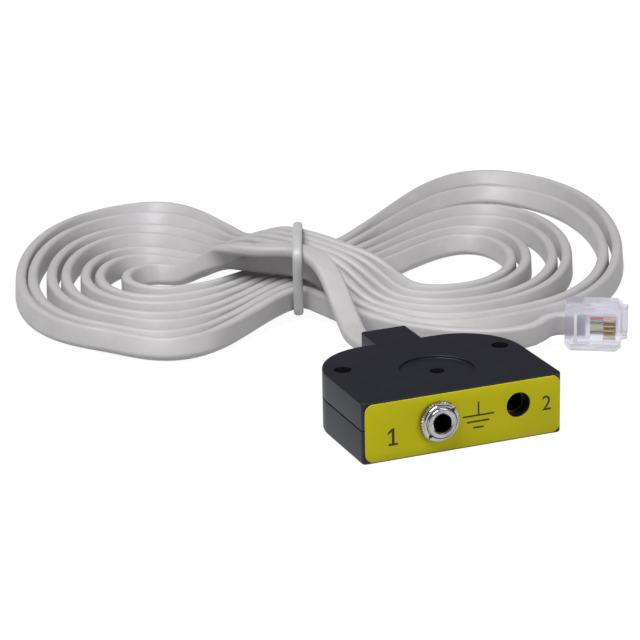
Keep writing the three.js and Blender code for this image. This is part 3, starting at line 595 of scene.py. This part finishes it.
# Cable
def makeCable():
    rings = cableSkin()
    count, sides = len(rings), len(rings[0])
    points = np.concatenate(rings)
    faces = []
    spots = []
    for i in range(count - 1):
        for k in range(sides):
            n = (k + 1) % sides
            faces.append((i * sides + k, i * sides + n, (i + 1) * sides + n, (i + 1) * sides + k))
            around = ((k, i), (k + 1, i), (k + 1, i + 1), (k, i + 1))
            spots.append([(row * cable["step"] / 10, column / sides) for column, row in around])
    ends = [tuple(reversed(range(sides))), tuple(range((count - 1) * sides, count * sides))]
    piece = meshPiece("flat_cable", points, faces + ends)
    layer = piece.data.uv_layers.new(name="along")
    flatSpots = [value for face in spots for spot in face for value in spot]
    flatSpots += [0.0] * (2 * len(layer.data) - len(flatSpots))
    layer.data.foreach_set("uv", flatSpots)
    return settle(piece, "remote", "cable", ("cable_tail", "cable_lead", "cable_hank", "cable_to_plug"), 40)


cablePiece = makeCable()
print("cable made")

# Tie round the bundle
tie = {"wide": 2.1, "thick": 0.9, "clear": 0.14, "edge": 0.28, "bulge": 0.1, "rounding": 0.5, "step": 0.35,
       "bend": 0.25, "reach": 30, "high": 20}


def toHank(points):
    c, s = math.cos(hank["turn"]), math.sin(hank["turn"])
    x, y = points[:, 0] - hank["x"], points[:, 1] - hank["y"]
    return np.stack([x * c + y * s, -x * s + y * c, points[:, 2]], axis=1)


def hull(points):  # outer boundary of a set of points, going round to the left
    ordered = sorted(map(tuple, points))

    def side(row):
        kept = []
        for p in row:
            while len(kept) > 1:
                (ax, ay), (bx, by) = kept[-2], kept[-1]
                if (bx - ax) * (p[1] - ay) - (by - ay) * (p[0] - ax) > 1e-9:
                    break
                kept.pop()
            kept.append(p)
        return kept[:-1]

    return side(ordered) + side(ordered[::-1])


def tieOutline():
    local = toHank(np.concatenate(cableSkin()))
    near = np.abs(local[:, 0] - hank["tieAt"]) < tie["wide"] / 2 + cable["step"] / 2
    near &= (np.abs(local[:, 1]) < tie["reach"]) & (local[:, 2] < tie["high"])
    outline = np.array(hull(local[near][:, 1:]))
    path = []
    for i, point in enumerate(outline):
        before, after = outline[i - 1], outline[(i + 1) % len(outline)]
        first = math.atan2(*(point - before)[::-1]) - math.pi / 2
        bend = (math.atan2(*(after - point)[::-1]) - math.pi / 2 - first) % (2 * math.pi)
        parts = max(1, math.ceil(bend / tie["bend"]))
        for k in range(parts + 1):
            angle = first + bend * k / parts
            path.append(point + tie["clear"] * np.array([math.cos(angle), math.sin(angle)]))
    path = np.array(path + path[:1])
    path = evenly(path, tie["step"])[:-1]
    weights = np.exp(-0.5 * (np.arange(-5, 6) * tie["step"] / tie["rounding"]) ** 2)
    weights /= weights.sum()
    wrapped = np.concatenate((path[-5:], path, path[:5]))
    return np.stack([np.convolve(wrapped[:, k], weights, "valid") for k in range(2)], axis=1)


def makeTie():
    outline = tieOutline()
    along = np.roll(outline, -1, axis=0) - np.roll(outline, 1, axis=0)
    along /= np.linalg.norm(along, axis=1)[:, None]
    away = np.stack([along[:, 1], -along[:, 0]], axis=1)
    half, thick, edge = tie["wide"] / 2, tie["thick"], tie["edge"]
    section = [(-half + edge, 0), (half - edge, 0), (half - 0.06, edge * 0.5), (half, edge * 1.3),
               (half - edge * 0.7, thick - edge * 0.4), (half - edge * 1.9, thick), (0, thick + tie["bulge"]),
               (edge * 1.9 - half, thick), (edge * 0.7 - half, thick - edge * 0.4), (-half, edge * 1.3),
               (0.06 - half, edge * 0.5)]
    rings = []
    for (across, up), (outAcross, outUp) in zip(outline, away):
        ring = [fromHank(hank["tieAt"] + run, across + out * outAcross, up + out * outUp)[:3]
                for run, out in section]
        rings.append(ring)
    piece = loft("cable_tie", rings, closed=True)
    return settle(piece, "remote", "tie", ("hank_tie",), 50)


tiePiece = makeTie()
print("tie made")

# Housing
house = {"wide": 41, "deep": 29.7, "high": 12.2, "seam": 6.649, "gap": 0.2, "wall": 2, "floor": 1.8,
         "backRadius": 12.5, "cornerRadius": 0.8, "edge": 0.4, "seamEdge": 0.14,
         "blockWide": 9.6, "blockBack": 37.75, "blockWall": 1.6, "blockCorner": 0.5,
         "holeX": 16.6, "holeY": 18.7, "hole": 1.7, "boss": 3, "recess": 7.25, "recessDeep": 0.5,
         "screwY": 11.8, "screwHole": 1.45, "screwBoss": 2.3, "headHole": 2.65, "headDeep": 1.75,
         "headBoss": 3.5, "headBossTop": 3, "throat": 0.25}
jack = {"x": -5.3, "z": 6.7, "hole": 3.2, "bore": 1.8, "thread": 2.95, "proud": 2.4,
        "pitch": 0.45, "groove": 0.2, "threadEnd": 1.9, "back": 2.9}
aux = {"x": 11.3, "z": 7.1, "hole": 2.4}


def arc(x, y, radius, start, segments):
    angles = [start + math.pi / 2 * k / segments for k in range(segments + 1)]
    return [(x + radius * math.cos(a), y + radius * math.sin(a)) for a in angles]


def houseOutline(inset):
    half, back = house["wide"] / 2 - inset, house["deep"] - inset
    small = max(house["cornerRadius"] - inset, 0.4)
    large = house["backRadius"] - inset
    return (arc(half - small, inset + small, small, -math.pi / 2, 6)
            + arc(half - large, back - large, large, 0, 28)
            + arc(large - half, back - large, large, math.pi / 2, 28)
            + arc(small - half, inset + small, small, math.pi, 6))


def blockOutline(inset):
    half, back = house["blockWide"] / 2 - inset, house["blockBack"] - inset
    front, corner = house["deep"] - house["wall"] + 0.5, max(house["blockCorner"] - inset, 0.05)
    return ([(-half, front), (half, front)] + arc(half - corner, back - corner, corner, 0, 5)
            + arc(corner - half, back - corner, corner, math.pi / 2, 5))


def edgeRings(outline, z0, z1, lowEdge, highEdge):  # upright walls with rounded lower and upper edges
    rings = []
    for k in range(5):
        a = math.pi / 2 * k / 4
        rings.append((lowEdge * (1 - math.sin(a)), z0 + lowEdge * (1 - math.cos(a))))
    for k in range(5):
        a = math.pi / 2 * k / 4
        rings.append((highEdge * (1 - math.cos(a)), z1 - highEdge * (1 - math.sin(a))))
    return [[(x, y, z) for x, y in outline(inset)] for inset, z in rings]


def hollow(z0, z1):
    room = loft("hollow", [[(x, y, z) for x, y in houseOutline(house["wall"])] for z in (z0, z1)])
    half, back = house["blockWide"] / 2 - house["blockWall"], house["blockBack"] - house["blockWall"]
    join(room, brick(-half, half, house["deep"] - house["wall"] - 1, back, z0, z1))
    return room


def makeShell(name, z0, z1, lowEdge, highEdge, roomLow, roomHigh):
    shell = loft(name, edgeRings(houseOutline, z0, z1, lowEdge, highEdge))
    join(shell, loft("block", edgeRings(blockOutline, z0, z1, lowEdge, highEdge)))
    carve(shell, hollow(roomLow, roomHigh))
    bossLow, bossHigh = max(z0, house["floor"] - 0.05), min(z1, house["high"] - house["floor"] + 0.05)
    for x in (-house["holeX"], house["holeX"]):
        join(shell, post(x, house["holeY"], [(house["boss"], bossLow), (house["boss"], bossHigh)]))
        carve(shell, post(x, house["holeY"], [(house["hole"], z0 - 1), (house["hole"], z1 + 1)]))
    join(shell, post(0, house["screwY"], [(house["screwBoss"], bossLow), (house["screwBoss"], bossHigh)]))
    carve(shell, post(0, house["screwY"], [(house["screwHole"], z0 - 1), (house["screwHole"], z1 + 1)]))
    slotX, slotZ = cable["wide"] / 2 + house["throat"], cable["thick"] / 2 + house["throat"]
    carve(shell,
          spindle("jackHole", jack["x"], jack["z"], [(jack["hole"], -1), (jack["hole"], 3)], 64),
          spindle("auxHole", aux["x"], aux["z"],
                  [(aux["hole"] + 0.5, -0.5), (aux["hole"], 0.1), (aux["hole"], 3)], 64),
          brick(-slotX, slotX, house["blockBack"] - house["blockWall"] - 1, house["blockBack"] + 1,
                house["seam"] - slotZ, house["seam"] + slotZ))
    return shell


def makeHousing():
    seamLow, seamHigh = house["seam"] - house["gap"] / 2, house["seam"] + house["gap"] / 2
    lower = makeShell("lower_shell", 0, seamLow, house["edge"], house["seamEdge"],
                      house["floor"], seamLow + 1)
    join(lower, post(0, house["screwY"], [(house["headBoss"], house["floor"] - 0.05),
                                          (house["headBoss"], house["headBossTop"])]))
    carve(lower, post(0, house["screwY"], [(house["headHole"] + 0.3, -1), (house["headHole"] + 0.3, 0),
                                           (house["headHole"], 0.3), (house["headHole"], house["headDeep"])]),
          post(0, house["screwY"], [(house["screwHole"], 0), (house["screwHole"], 4)]))
    upper = makeShell("upper_shell", seamHigh, house["high"], house["seamEdge"], house["edge"],
                      seamHigh - 1, house["high"] - house["floor"])
    top, deep, wide = house["high"], house["recessDeep"], house["recess"]
    carve(upper, post(0, house["screwY"], [(wide - 0.1, top - deep), (wide, top - deep + 0.1),
                                           (wide, top - 0.08), (wide + 0.12, top + 0.04),
                                           (wide + 0.12, top + 1)], 96))
    settle(lower, "remote", "shell", ("lower_housing",), 30)
    settle(upper, "remote", "shell", ("upper_housing",), 30)


makeHousing()
print("housing made")

# Front label with its print
label = {"border": 0.42, "corner": 1.7, "thick": 0.25, "edge": 0.06, "gap": 0.05, "ink": 0.03}
earthSign = {"stem": (2.82, 3.12, 6.25, 9.1), "barHalf": 0.16, "corner": 0.1, "edge": 0.01,
             "bars": ((-0.3, 6.2, 6.4), (0.55, 5.2, 5.22), (1.85, 4.05, 4.0))}
numbers = {"jack": (-14.6, 4.9, 3.4), "socket": (17.2, 6.4, 4.2)}  # middle along X and Z, and size


def frontRounded(x0, x1, z0, z1, corner, segments):  # a rounded rectangle in X and Z, seen from the front
    quarter = [(x1 - corner, z0 + corner, -1), (x1 - corner, z1 - corner, 0),
               (x0 + corner, z1 - corner, 1), (x0 + corner, z0 + corner, 2)]
    outline = []
    for x, z, start in quarter:
        outline += arc(x, z, corner, math.pi / 2 * start, segments)
    return outline


def frontPlate(name, x0, x1, z0, z1, corner, back, front, edge, segments=8):
    rings = []
    for inset, y in ((0, back), (0, front + edge), (edge * 0.3, front + edge * 0.3), (edge, front)):
        outline = frontRounded(x0 + inset, x1 - inset, z0 + inset, z1 - inset, corner - inset, segments)
        rings.append([(x, y, z) for x, z in outline])
    return loft(name, rings)


def makeLabel():
    half, border = house["wide"] / 2 - label["border"], label["border"]
    back, front = -label["gap"], -label["gap"] - label["thick"]
    film = frontPlate("label_film", -half, half, border, house["high"] - border, label["corner"], back, front,
                      label["edge"], 12)
    carve(film, spindle("jackHole", jack["x"], jack["z"], [(jack["hole"], -1), (jack["hole"], 1)], 64),
          spindle("auxHole", aux["x"], aux["z"], [(aux["hole"] + 0.1, -1), (aux["hole"] + 0.1, 1)], 64))
    settle(film, "remote", "label", ("front_label",))
    inkFront = front - label["ink"]
    half, corner, edge = earthSign["barHalf"], earthSign["corner"], earthSign["edge"]
    sign = frontPlate("earth_sign", *earthSign["stem"], corner, front, inkFront, edge, 3)
    for x0, x1, z in earthSign["bars"]:
        join(sign, frontPlate("bar", x0, x1, z - half, z + half, corner, front, inkFront, edge, 3))
    settle(sign, "remote", None, finish="ink")
    return front


def makeNumber(name, text, x, z, size, front):
    letters = bpy.data.curves.new(name, "FONT")
    letters.body = text
    letters.size = size
    letters.align_x = "CENTER"
    letters.align_y = "CENTER"
    letters.extrude = label["ink"] / 2
    letters.resolution_u = 6
    source = bpy.data.objects.new(name + "_source", letters)
    bpy.context.scene.collection.objects.link(source)
    graph = bpy.context.evaluated_depsgraph_get()
    mesh = bpy.data.meshes.new_from_object(source.evaluated_get(graph))
    bpy.data.objects.remove(source)
    piece = bpy.data.objects.new(name, mesh)
    bpy.context.scene.collection.objects.link(piece)
    upright = Euler((math.pi / 2, 0, 0)).to_matrix().to_4x4()
    mesh.transform(Matrix.Translation((x, front - label["ink"] / 2, z)) @ upright)
    outward(piece)
    settle(piece, "remote", None, finish="ink")


def makeOne(x, z, size, front):  # drawn from listed points, with a flag and a foot
    outline = [(-0.26, -0.5), (0.3, -0.5), (0.3, -0.38), (0.1, -0.38), (0.1, 0.5), (-0.03, 0.5), (-0.28, 0.3),
               (-0.28, 0.15), (-0.05, 0.32), (-0.05, -0.38), (-0.26, -0.38)]
    shape = [(x + size * px, z + size * pz) for px, pz in outline]
    piece = loft("jack_number", [[(px, y, pz) for px, pz in shape] for y in (front, front - label["ink"])])
    settle(piece, "remote", None, finish="ink")


labelFront = makeLabel()
makeOne(*numbers["jack"], labelFront)
makeNumber("socket_number", "2", *numbers["socket"], labelFront)
print("label made")


# Jack: threaded bushing and knurled nut
def makeBushing():
    bore, thread, tip = jack["bore"], jack["thread"], -jack["proud"]
    outer = [(bore + 0.35, tip), (thread - 0.35, tip), (thread - 0.12, tip + 0.1), (thread - 0.02, tip + 0.3)]
    y, low, back = tip + jack["pitch"], thread - jack["groove"], jack["back"]
    while y < jack["threadEnd"]:  # the thread, as grooves side by side
        outer += [(low, y), (thread, y + 0.12), (thread, y + 0.22), (low, y + 0.35)]
        y += jack["pitch"]
    profile = outer + [(thread, 2.3), (thread, back), (bore, back), (bore, tip + 0.5),
                       (bore + 0.08, tip + 0.2)]
    piece = spindle("jack_bushing_turned", jack["x"], jack["z"], profile, 96, closed=True)
    settle(piece, "remote", "nickel", ("jack_bushing",), 30)


nut = {"knurls": 44, "outer": 4.02, "root": 3.8, "back": -0.36, "knurlFront": -1.45, "front": -1.92,
       "shoulder": 3.55, "bore": 3.03, "slotWide": 0.85, "slotDeep": 0.7}


def makeNut():
    pitch = 2 * math.pi / nut["knurls"]
    rings = []
    inner, outer = nut["root"] - 0.3, nut["outer"]
    for y, lower in ((nut["knurlFront"] + 0.05, 0.16), (nut["knurlFront"] + 0.22, 0), (nut["back"] - 0.2, 0),
                     (nut["back"], 0.16)):
        tip, root = outer - lower, nut["root"] - lower * 0.3
        rings.append([(radius * math.cos(a), y, radius * math.sin(a)) for radius, a in (
            (inner, -0.42 * pitch), (root, -0.42 * pitch), (tip, -0.1 * pitch), (tip, 0.1 * pitch),
            (root, 0.42 * pitch), (inner, 0.42 * pitch))])
    teeth = repeat(loft("knurled_nut_turned", rings), nut["knurls"], "nickel", turn=pitch)
    teeth.data.transform(Matrix.Translation((jack["x"], 0, jack["z"])))
    outward(teeth)
    front, back, root, shoulder = nut["front"], nut["back"], nut["root"], nut["shoulder"]
    profile = [(nut["bore"] + 0.12, front), (shoulder - 0.3, front), (shoulder - 0.1, front + 0.06),
               (shoulder, front + 0.2), (shoulder, nut["knurlFront"] - 0.02), (root - 0.12, nut["knurlFront"]),
               (root, nut["knurlFront"] + 0.1), (root, back - 0.06), (root - 0.1, back),
               (nut["bore"], back), (nut["bore"], front + 0.12)]
    core = spindle("core", jack["x"], jack["z"], profile, 132, closed=True)
    join(teeth, core)
    slot = brick(-5, 5, front - 1, front + nut["slotDeep"], -nut["slotWide"] / 2, nut["slotWide"] / 2)
    slot.data.transform(Matrix.Translation((jack["x"], 0, jack["z"])) @ Matrix.Rotation(-math.pi / 4, 4, "Y"))
    carve(teeth, slot)
    settle(teeth, "remote", "nickel", ("knurled_nut",), 28)


makeBushing()
makeNut()
print("jack made")

# Assembly screw under the base
screw = {"head": 2.4, "sink": 0.4, "thick": 1.3, "shank": 1.2, "thread": 0.12, "pitch": 0.55, "tip": 9.6,
         "cross": (0.33, 1.25), "crossDeep": 0.75}


def makeScrew():
    top = screw["sink"] + screw["thick"]
    profile = [(screw["head"] - 0.3, screw["sink"]), (screw["head"] - 0.08, screw["sink"] + 0.12),
               (screw["head"], screw["sink"] + 0.35), (screw["head"], top), (screw["shank"], top)]
    z = top + 0.4
    while z < screw["tip"] - 0.8:
        profile += [(screw["shank"] - screw["thread"], z), (screw["shank"], z + screw["pitch"] * 0.4),
                    (screw["shank"] - screw["thread"], z + screw["pitch"] * 0.8)]
        z += screw["pitch"]
    profile += [(screw["shank"] - screw["thread"], screw["tip"] - 0.4), (0.5, screw["tip"])]
    y = house["screwY"]
    piece = loft("shell_screw", [circle(radius, 48, 0, y, height) for radius, height in profile])
    for x0, y0 in (screw["cross"], screw["cross"][::-1]):
        carve(piece, brick(-x0, x0, y - y0, y + y0, -1, screw["sink"] + screw["crossDeep"]))
    settle(piece, "remote", "steel", ("assembly_screw",), 30)


makeScrew()
print("screw made")

# Modular plug
plugPlace = Matrix.Translation((plug["x"], plug["y"], 0)) @ Matrix.Rotation(plug["turn"], 4, "Z")
plugMiddle = plug["wide"] / 2
plugDetail = {"edge": 0.22, "throat": 5.2, "slotStart": 7.9, "slotEnd": 10.5, "slotWide": 0.62, "slots": 6,
              "contacts": 4, "blade": 0.34, "bladeStart": 8.1, "bladeEnd": 10.3, "wire": 0.36,
              "wireRings": ((5.1, 0.7), (5.14, 1), (5.6, 1), (6.3, 1), (7.2, 1), (8.4, 1), (10.46, 1),
                            (10.5, 0.7)),
              "latchThick": 0.9, "latchTail": 1.6, "latchAngle": 13, "latchPast": 0.6,
              "wireRoom": (4.8, 10.8), "wireRoomDeep": 0.75, "wireRoomHalf": 2.1,
              "barSlot": (1.9, 2.6), "barHalf": 2.95,
              "window": (2.6, 5.3), "windowDeep": 0.5, "windowHalf": 3.1}


def prism(name, outline, y0, y1):  # an outline in X and Z, as thick as y0 to y1
    return loft(name, [[(x, y, z) for x, z in outline] for y in (y0, y1)])


def makePlugBody():
    half, long, wide = plug["thick"] / 2, plug["long"], plug["wide"]
    outline = [(0, 1.3), (1.2, 0), (long - 1.1, 0), (long, 0.9), (long, wide - 0.9), (long - 0.8, wide),
               (0.3, wide), (0, wide - 0.3)]
    body = prism("plug_clear_body", outline, -half, half)
    nose = plug["noseWide"] / 2
    join(body, brick(long - 0.5, long + plug["noseReach"], -0.5, half - 0.3,
                     plugMiddle - nose, plugMiddle + nose))
    softenEdges(body, plugDetail["edge"], 3)
    throatY, throatZ = cable["thick"] / 2 + 0.25, cable["wide"] / 2 + 0.25
    roomDeep, roomHalf = plugDetail["wireRoomDeep"], plugDetail["wireRoomHalf"]
    window = plugDetail["windowHalf"]
    carve(body, brick(-1, plugDetail["throat"], -throatY, throatY,
                      plugMiddle - throatZ, plugMiddle + throatZ),
          brick(*plugDetail["wireRoom"], -roomDeep, roomDeep, plugMiddle - roomHalf, plugMiddle + roomHalf),
          brick(*plugDetail["barSlot"], -half - 1, -throatY + 0.2, plugMiddle - window, plugMiddle + window),
          brick(*plugDetail["window"], -half - 1, -half + plugDetail["windowDeep"],
                plugMiddle - window, plugMiddle + window))
    slotHalf = plugDetail["slotWide"] / 2
    low = plugMiddle - 2.5 * plug["pitch"]
    slots = brick(plugDetail["slotStart"], plugDetail["slotEnd"], -half - 1, -0.6,
                  low - slotHalf, low + slotHalf)
    carve(body, repeat(slots, plugDetail["slots"], "clear_plastic", step=(0, 0, plug["pitch"])))
    settle(body, "remote", "clear_plastic", ("plug_body",), 30, placeMatrix=plugPlace)
    return body


def makeStrainBar():  # the bar in the slot that presses on the cable; its near-white colour is a painted highlight in the slot
    front, back = -plug["thick"] / 2 + 0.12, -cable["thick"] / 2 - 0.03
    side = [(1.96, front + 0.06), (2.04, front), (2.46, front), (2.54, front + 0.06), (2.54, back - 0.2),
            (2.36, back), (2.14, back), (1.96, back - 0.2)]
    bar = loft("plug_strain_bar", [[(x, y, plugMiddle + z) for x, y in side]
                                    for z in (-plugDetail["barHalf"], plugDetail["barHalf"])])
    softenEdges(bar, 0.05, 2)
    return settle(bar, "remote", None, finish="bar", placeMatrix=plugPlace)


def makePlugLatch():
    rise = math.tan(math.radians(plugDetail["latchAngle"]))
    root, tip = plug["thick"] / 2 + 0.3, plug["long"] + plug["noseReach"]
    thick, past = plugDetail["latchThick"], plugDetail["latchPast"]
    length = tip + past
    side = [(tip, root), (tip, root + thick * 0.7), (tip - 0.5, root + thick * 1.2),
            (-past, root + thick + length * rise), (-past, root + length * rise), (tip - 0.6, root)]
    half, narrow = plug["noseWide"] / 2, plugDetail["latchTail"]
    latch = loft("plug_clear_latch", [[(x, y, plugMiddle + z) for x, y in side] for z in (-half, half)])
    for way in (-1, 1):
        low, high = sorted((plugMiddle + way * narrow, plugMiddle + way * 8))
        carve(latch, brick(-5, 6, 0, 20, low, high))
    softenEdges(latch, 0.14, 2)
    settle(latch, "latch", "clear_plastic", ("plug_latch",), 30, placeMatrix=plugPlace)
    return latch


def makeContacts():
    start, end, half = plugDetail["bladeStart"], plugDetail["bladeEnd"], plugDetail["blade"] / 2
    edge, deep = -plug["thick"] / 2 + 0.5, -plugDetail["wire"] - 0.32
    side = [(start, deep), (start, edge + 0.35), (start + 0.1, edge + 0.1), (start + 0.35, edge),
            (end - 0.35, edge), (end - 0.1, edge + 0.1), (end, edge + 0.35), (end, deep), (end - 0.5, deep),
            (end - 0.65, deep - 0.35), (start + 0.65, deep - 0.35), (start + 0.5, deep)]
    low = plugMiddle - 1.5 * plug["pitch"]
    blade = loft("plug_blades", [[(x, y, low + z) for x, y in side] for z in (-half, half)])
    repeat(blade, plugDetail["contacts"], "gold", step=(0, 0, plug["pitch"]))
    names = [f"plug_contact_{i + 1}" for i in range(plugDetail["contacts"])]
    return settle(blade, "remote", "gold", names, 30, placeMatrix=plugPlace)


def makeConductors():
    made = []
    low = plugMiddle - 1.5 * plug["pitch"]
    for i, shade in enumerate(("black", "yellow", "green", "red")):
        z = low + i * plug["pitch"]
        radius = plugDetail["wire"]
        rings = [[(x, px, z + py) for px, py, _ in circle(radius * share, 20)]
                 for x, share in plugDetail["wireRings"]]
        wire = loft(f"plug_wire_{shade}", rings)
        settle(wire, "remote", shade + "_wire", (f"plug_conductor_{i + 1}",), 50, placeMatrix=plugPlace)
        made.append(wire)
    return made


plugPieces = [makePlugBody(), makeStrainBar(), makePlugLatch(), makeContacts(), *makeConductors()]
print("plug made")

# Inner pieces keep their solids and get their finishes
inner = {"jack_washer": "steel", "sleeve_lug": "brass", "jack_body": "dark_plastic", "tip_spring": "brass",
         "tip_lug": "brass", "shunt_contact": "brass", "aux_insulator": "dark_plastic", "aux_socket": "brass",
         "wire_yellow": "yellow_wire", "wire_red": "red_wire", "wire_green": "green_wire",
         "wire_black": "black_wire"}
for node, finish in inner.items():
    nodes[node].data.materials.clear()
    nodes[node].data.materials.append(finishes[finish])
print("inner pieces finished")

# Studio
studio = {"floor": 4.0, "direct": 0.8, "bounce": 0.45, "glow": 1.18, "world": 0.14, "aim": (0, 0.05, 0)}
lamps = {  # place, width and power
    "key_lamp": ((-0.35, -0.1, 0.9), 0.7, 10.5),
    "fill_lamp": ((0.5, -0.9, 0.5), 0.6, 3.0),
}


def seenBy(tree, *rays):  # 1 for the kinds of ray that are named
    path = tree.nodes.new("ShaderNodeLightPath")
    seen = path.outputs[rays[0]]
    for name in rays[1:]:
        either = tree.nodes.new("ShaderNodeMath")
        either.operation = "MAXIMUM"
        tree.links.new(seen, either.inputs[0])
        tree.links.new(path.outputs[name], either.inputs[1])
        seen = either.outputs[0]
    return seen


def makeFloor():
    half = studio["floor"] / 2
    corners = [(-half, -half, 0), (half, -half, 0), (half, half, 0), (-half, half, 0)]
    floor = meshPiece("studio_floor", corners, [(0, 1, 2, 3)])
    floor.location.z = -0.00005
    paint = bpy.data.materials.new("studio_floor")
    paint.use_nodes = True
    tree = paint.node_tree
    tree.nodes.remove(tree.nodes["Principled BSDF"])
    diffuse = tree.nodes.new("ShaderNodeBsdfDiffuse")
    diffuse.inputs["Color"].default_value = (studio["bounce"], studio["bounce"], studio["bounce"], 1)
    glow = tree.nodes.new("ShaderNodeEmission")
    glow.inputs["Strength"].default_value = studio["glow"]
    share = tree.nodes.new("ShaderNodeMath")
    share.operation = "MULTIPLY"
    share.inputs[1].default_value = studio["direct"]
    mix = tree.nodes.new("ShaderNodeMixShader")
    tree.links.new(seenBy(tree, "Is Camera Ray", "Is Glossy Ray", "Is Transmission Ray"), share.inputs[0])
    tree.links.new(share.outputs[0], mix.inputs[0])
    tree.links.new(diffuse.outputs[0], mix.inputs[1])
    tree.links.new(glow.outputs[0], mix.inputs[2])
    tree.links.new(mix.outputs[0], tree.nodes["Material Output"].inputs[0])
    floor.data.materials.append(paint)


def makeWorld():
    world = bpy.data.worlds.new("studio")
    bpy.context.scene.world = world
    world.use_nodes = True
    tree = world.node_tree
    sky = tree.nodes["Background"]
    sky.inputs["Color"].default_value = (1, 1, 1, 1)
    level = tree.nodes.new("ShaderNodeMapRange")
    level.inputs["To Min"].default_value = studio["world"]
    level.inputs["To Max"].default_value = 1.0
    tree.links.new(seenBy(tree, "Is Camera Ray", "Is Transmission Ray"), level.inputs["Value"])
    tree.links.new(level.outputs[0], sky.inputs["Strength"])


def makeLamp(name, spot, size, power):
    lamp = bpy.data.lights.new(name, "AREA")
    lamp.shape = "DISK"
    lamp.size = size
    lamp.energy = power
    holder = bpy.data.objects.new(name, lamp)
    bpy.context.scene.collection.objects.link(holder)
    holder.location = spot
    holder.rotation_euler = (Vector(studio["aim"]) - Vector(spot)).to_track_quat("-Z", "Y").to_euler()


makeFloor()
makeWorld()
for name, lamp in lamps.items():
    makeLamp(name, *lamp)
bpy.context.scene.view_settings.view_transform = "Standard"
print("studio made")
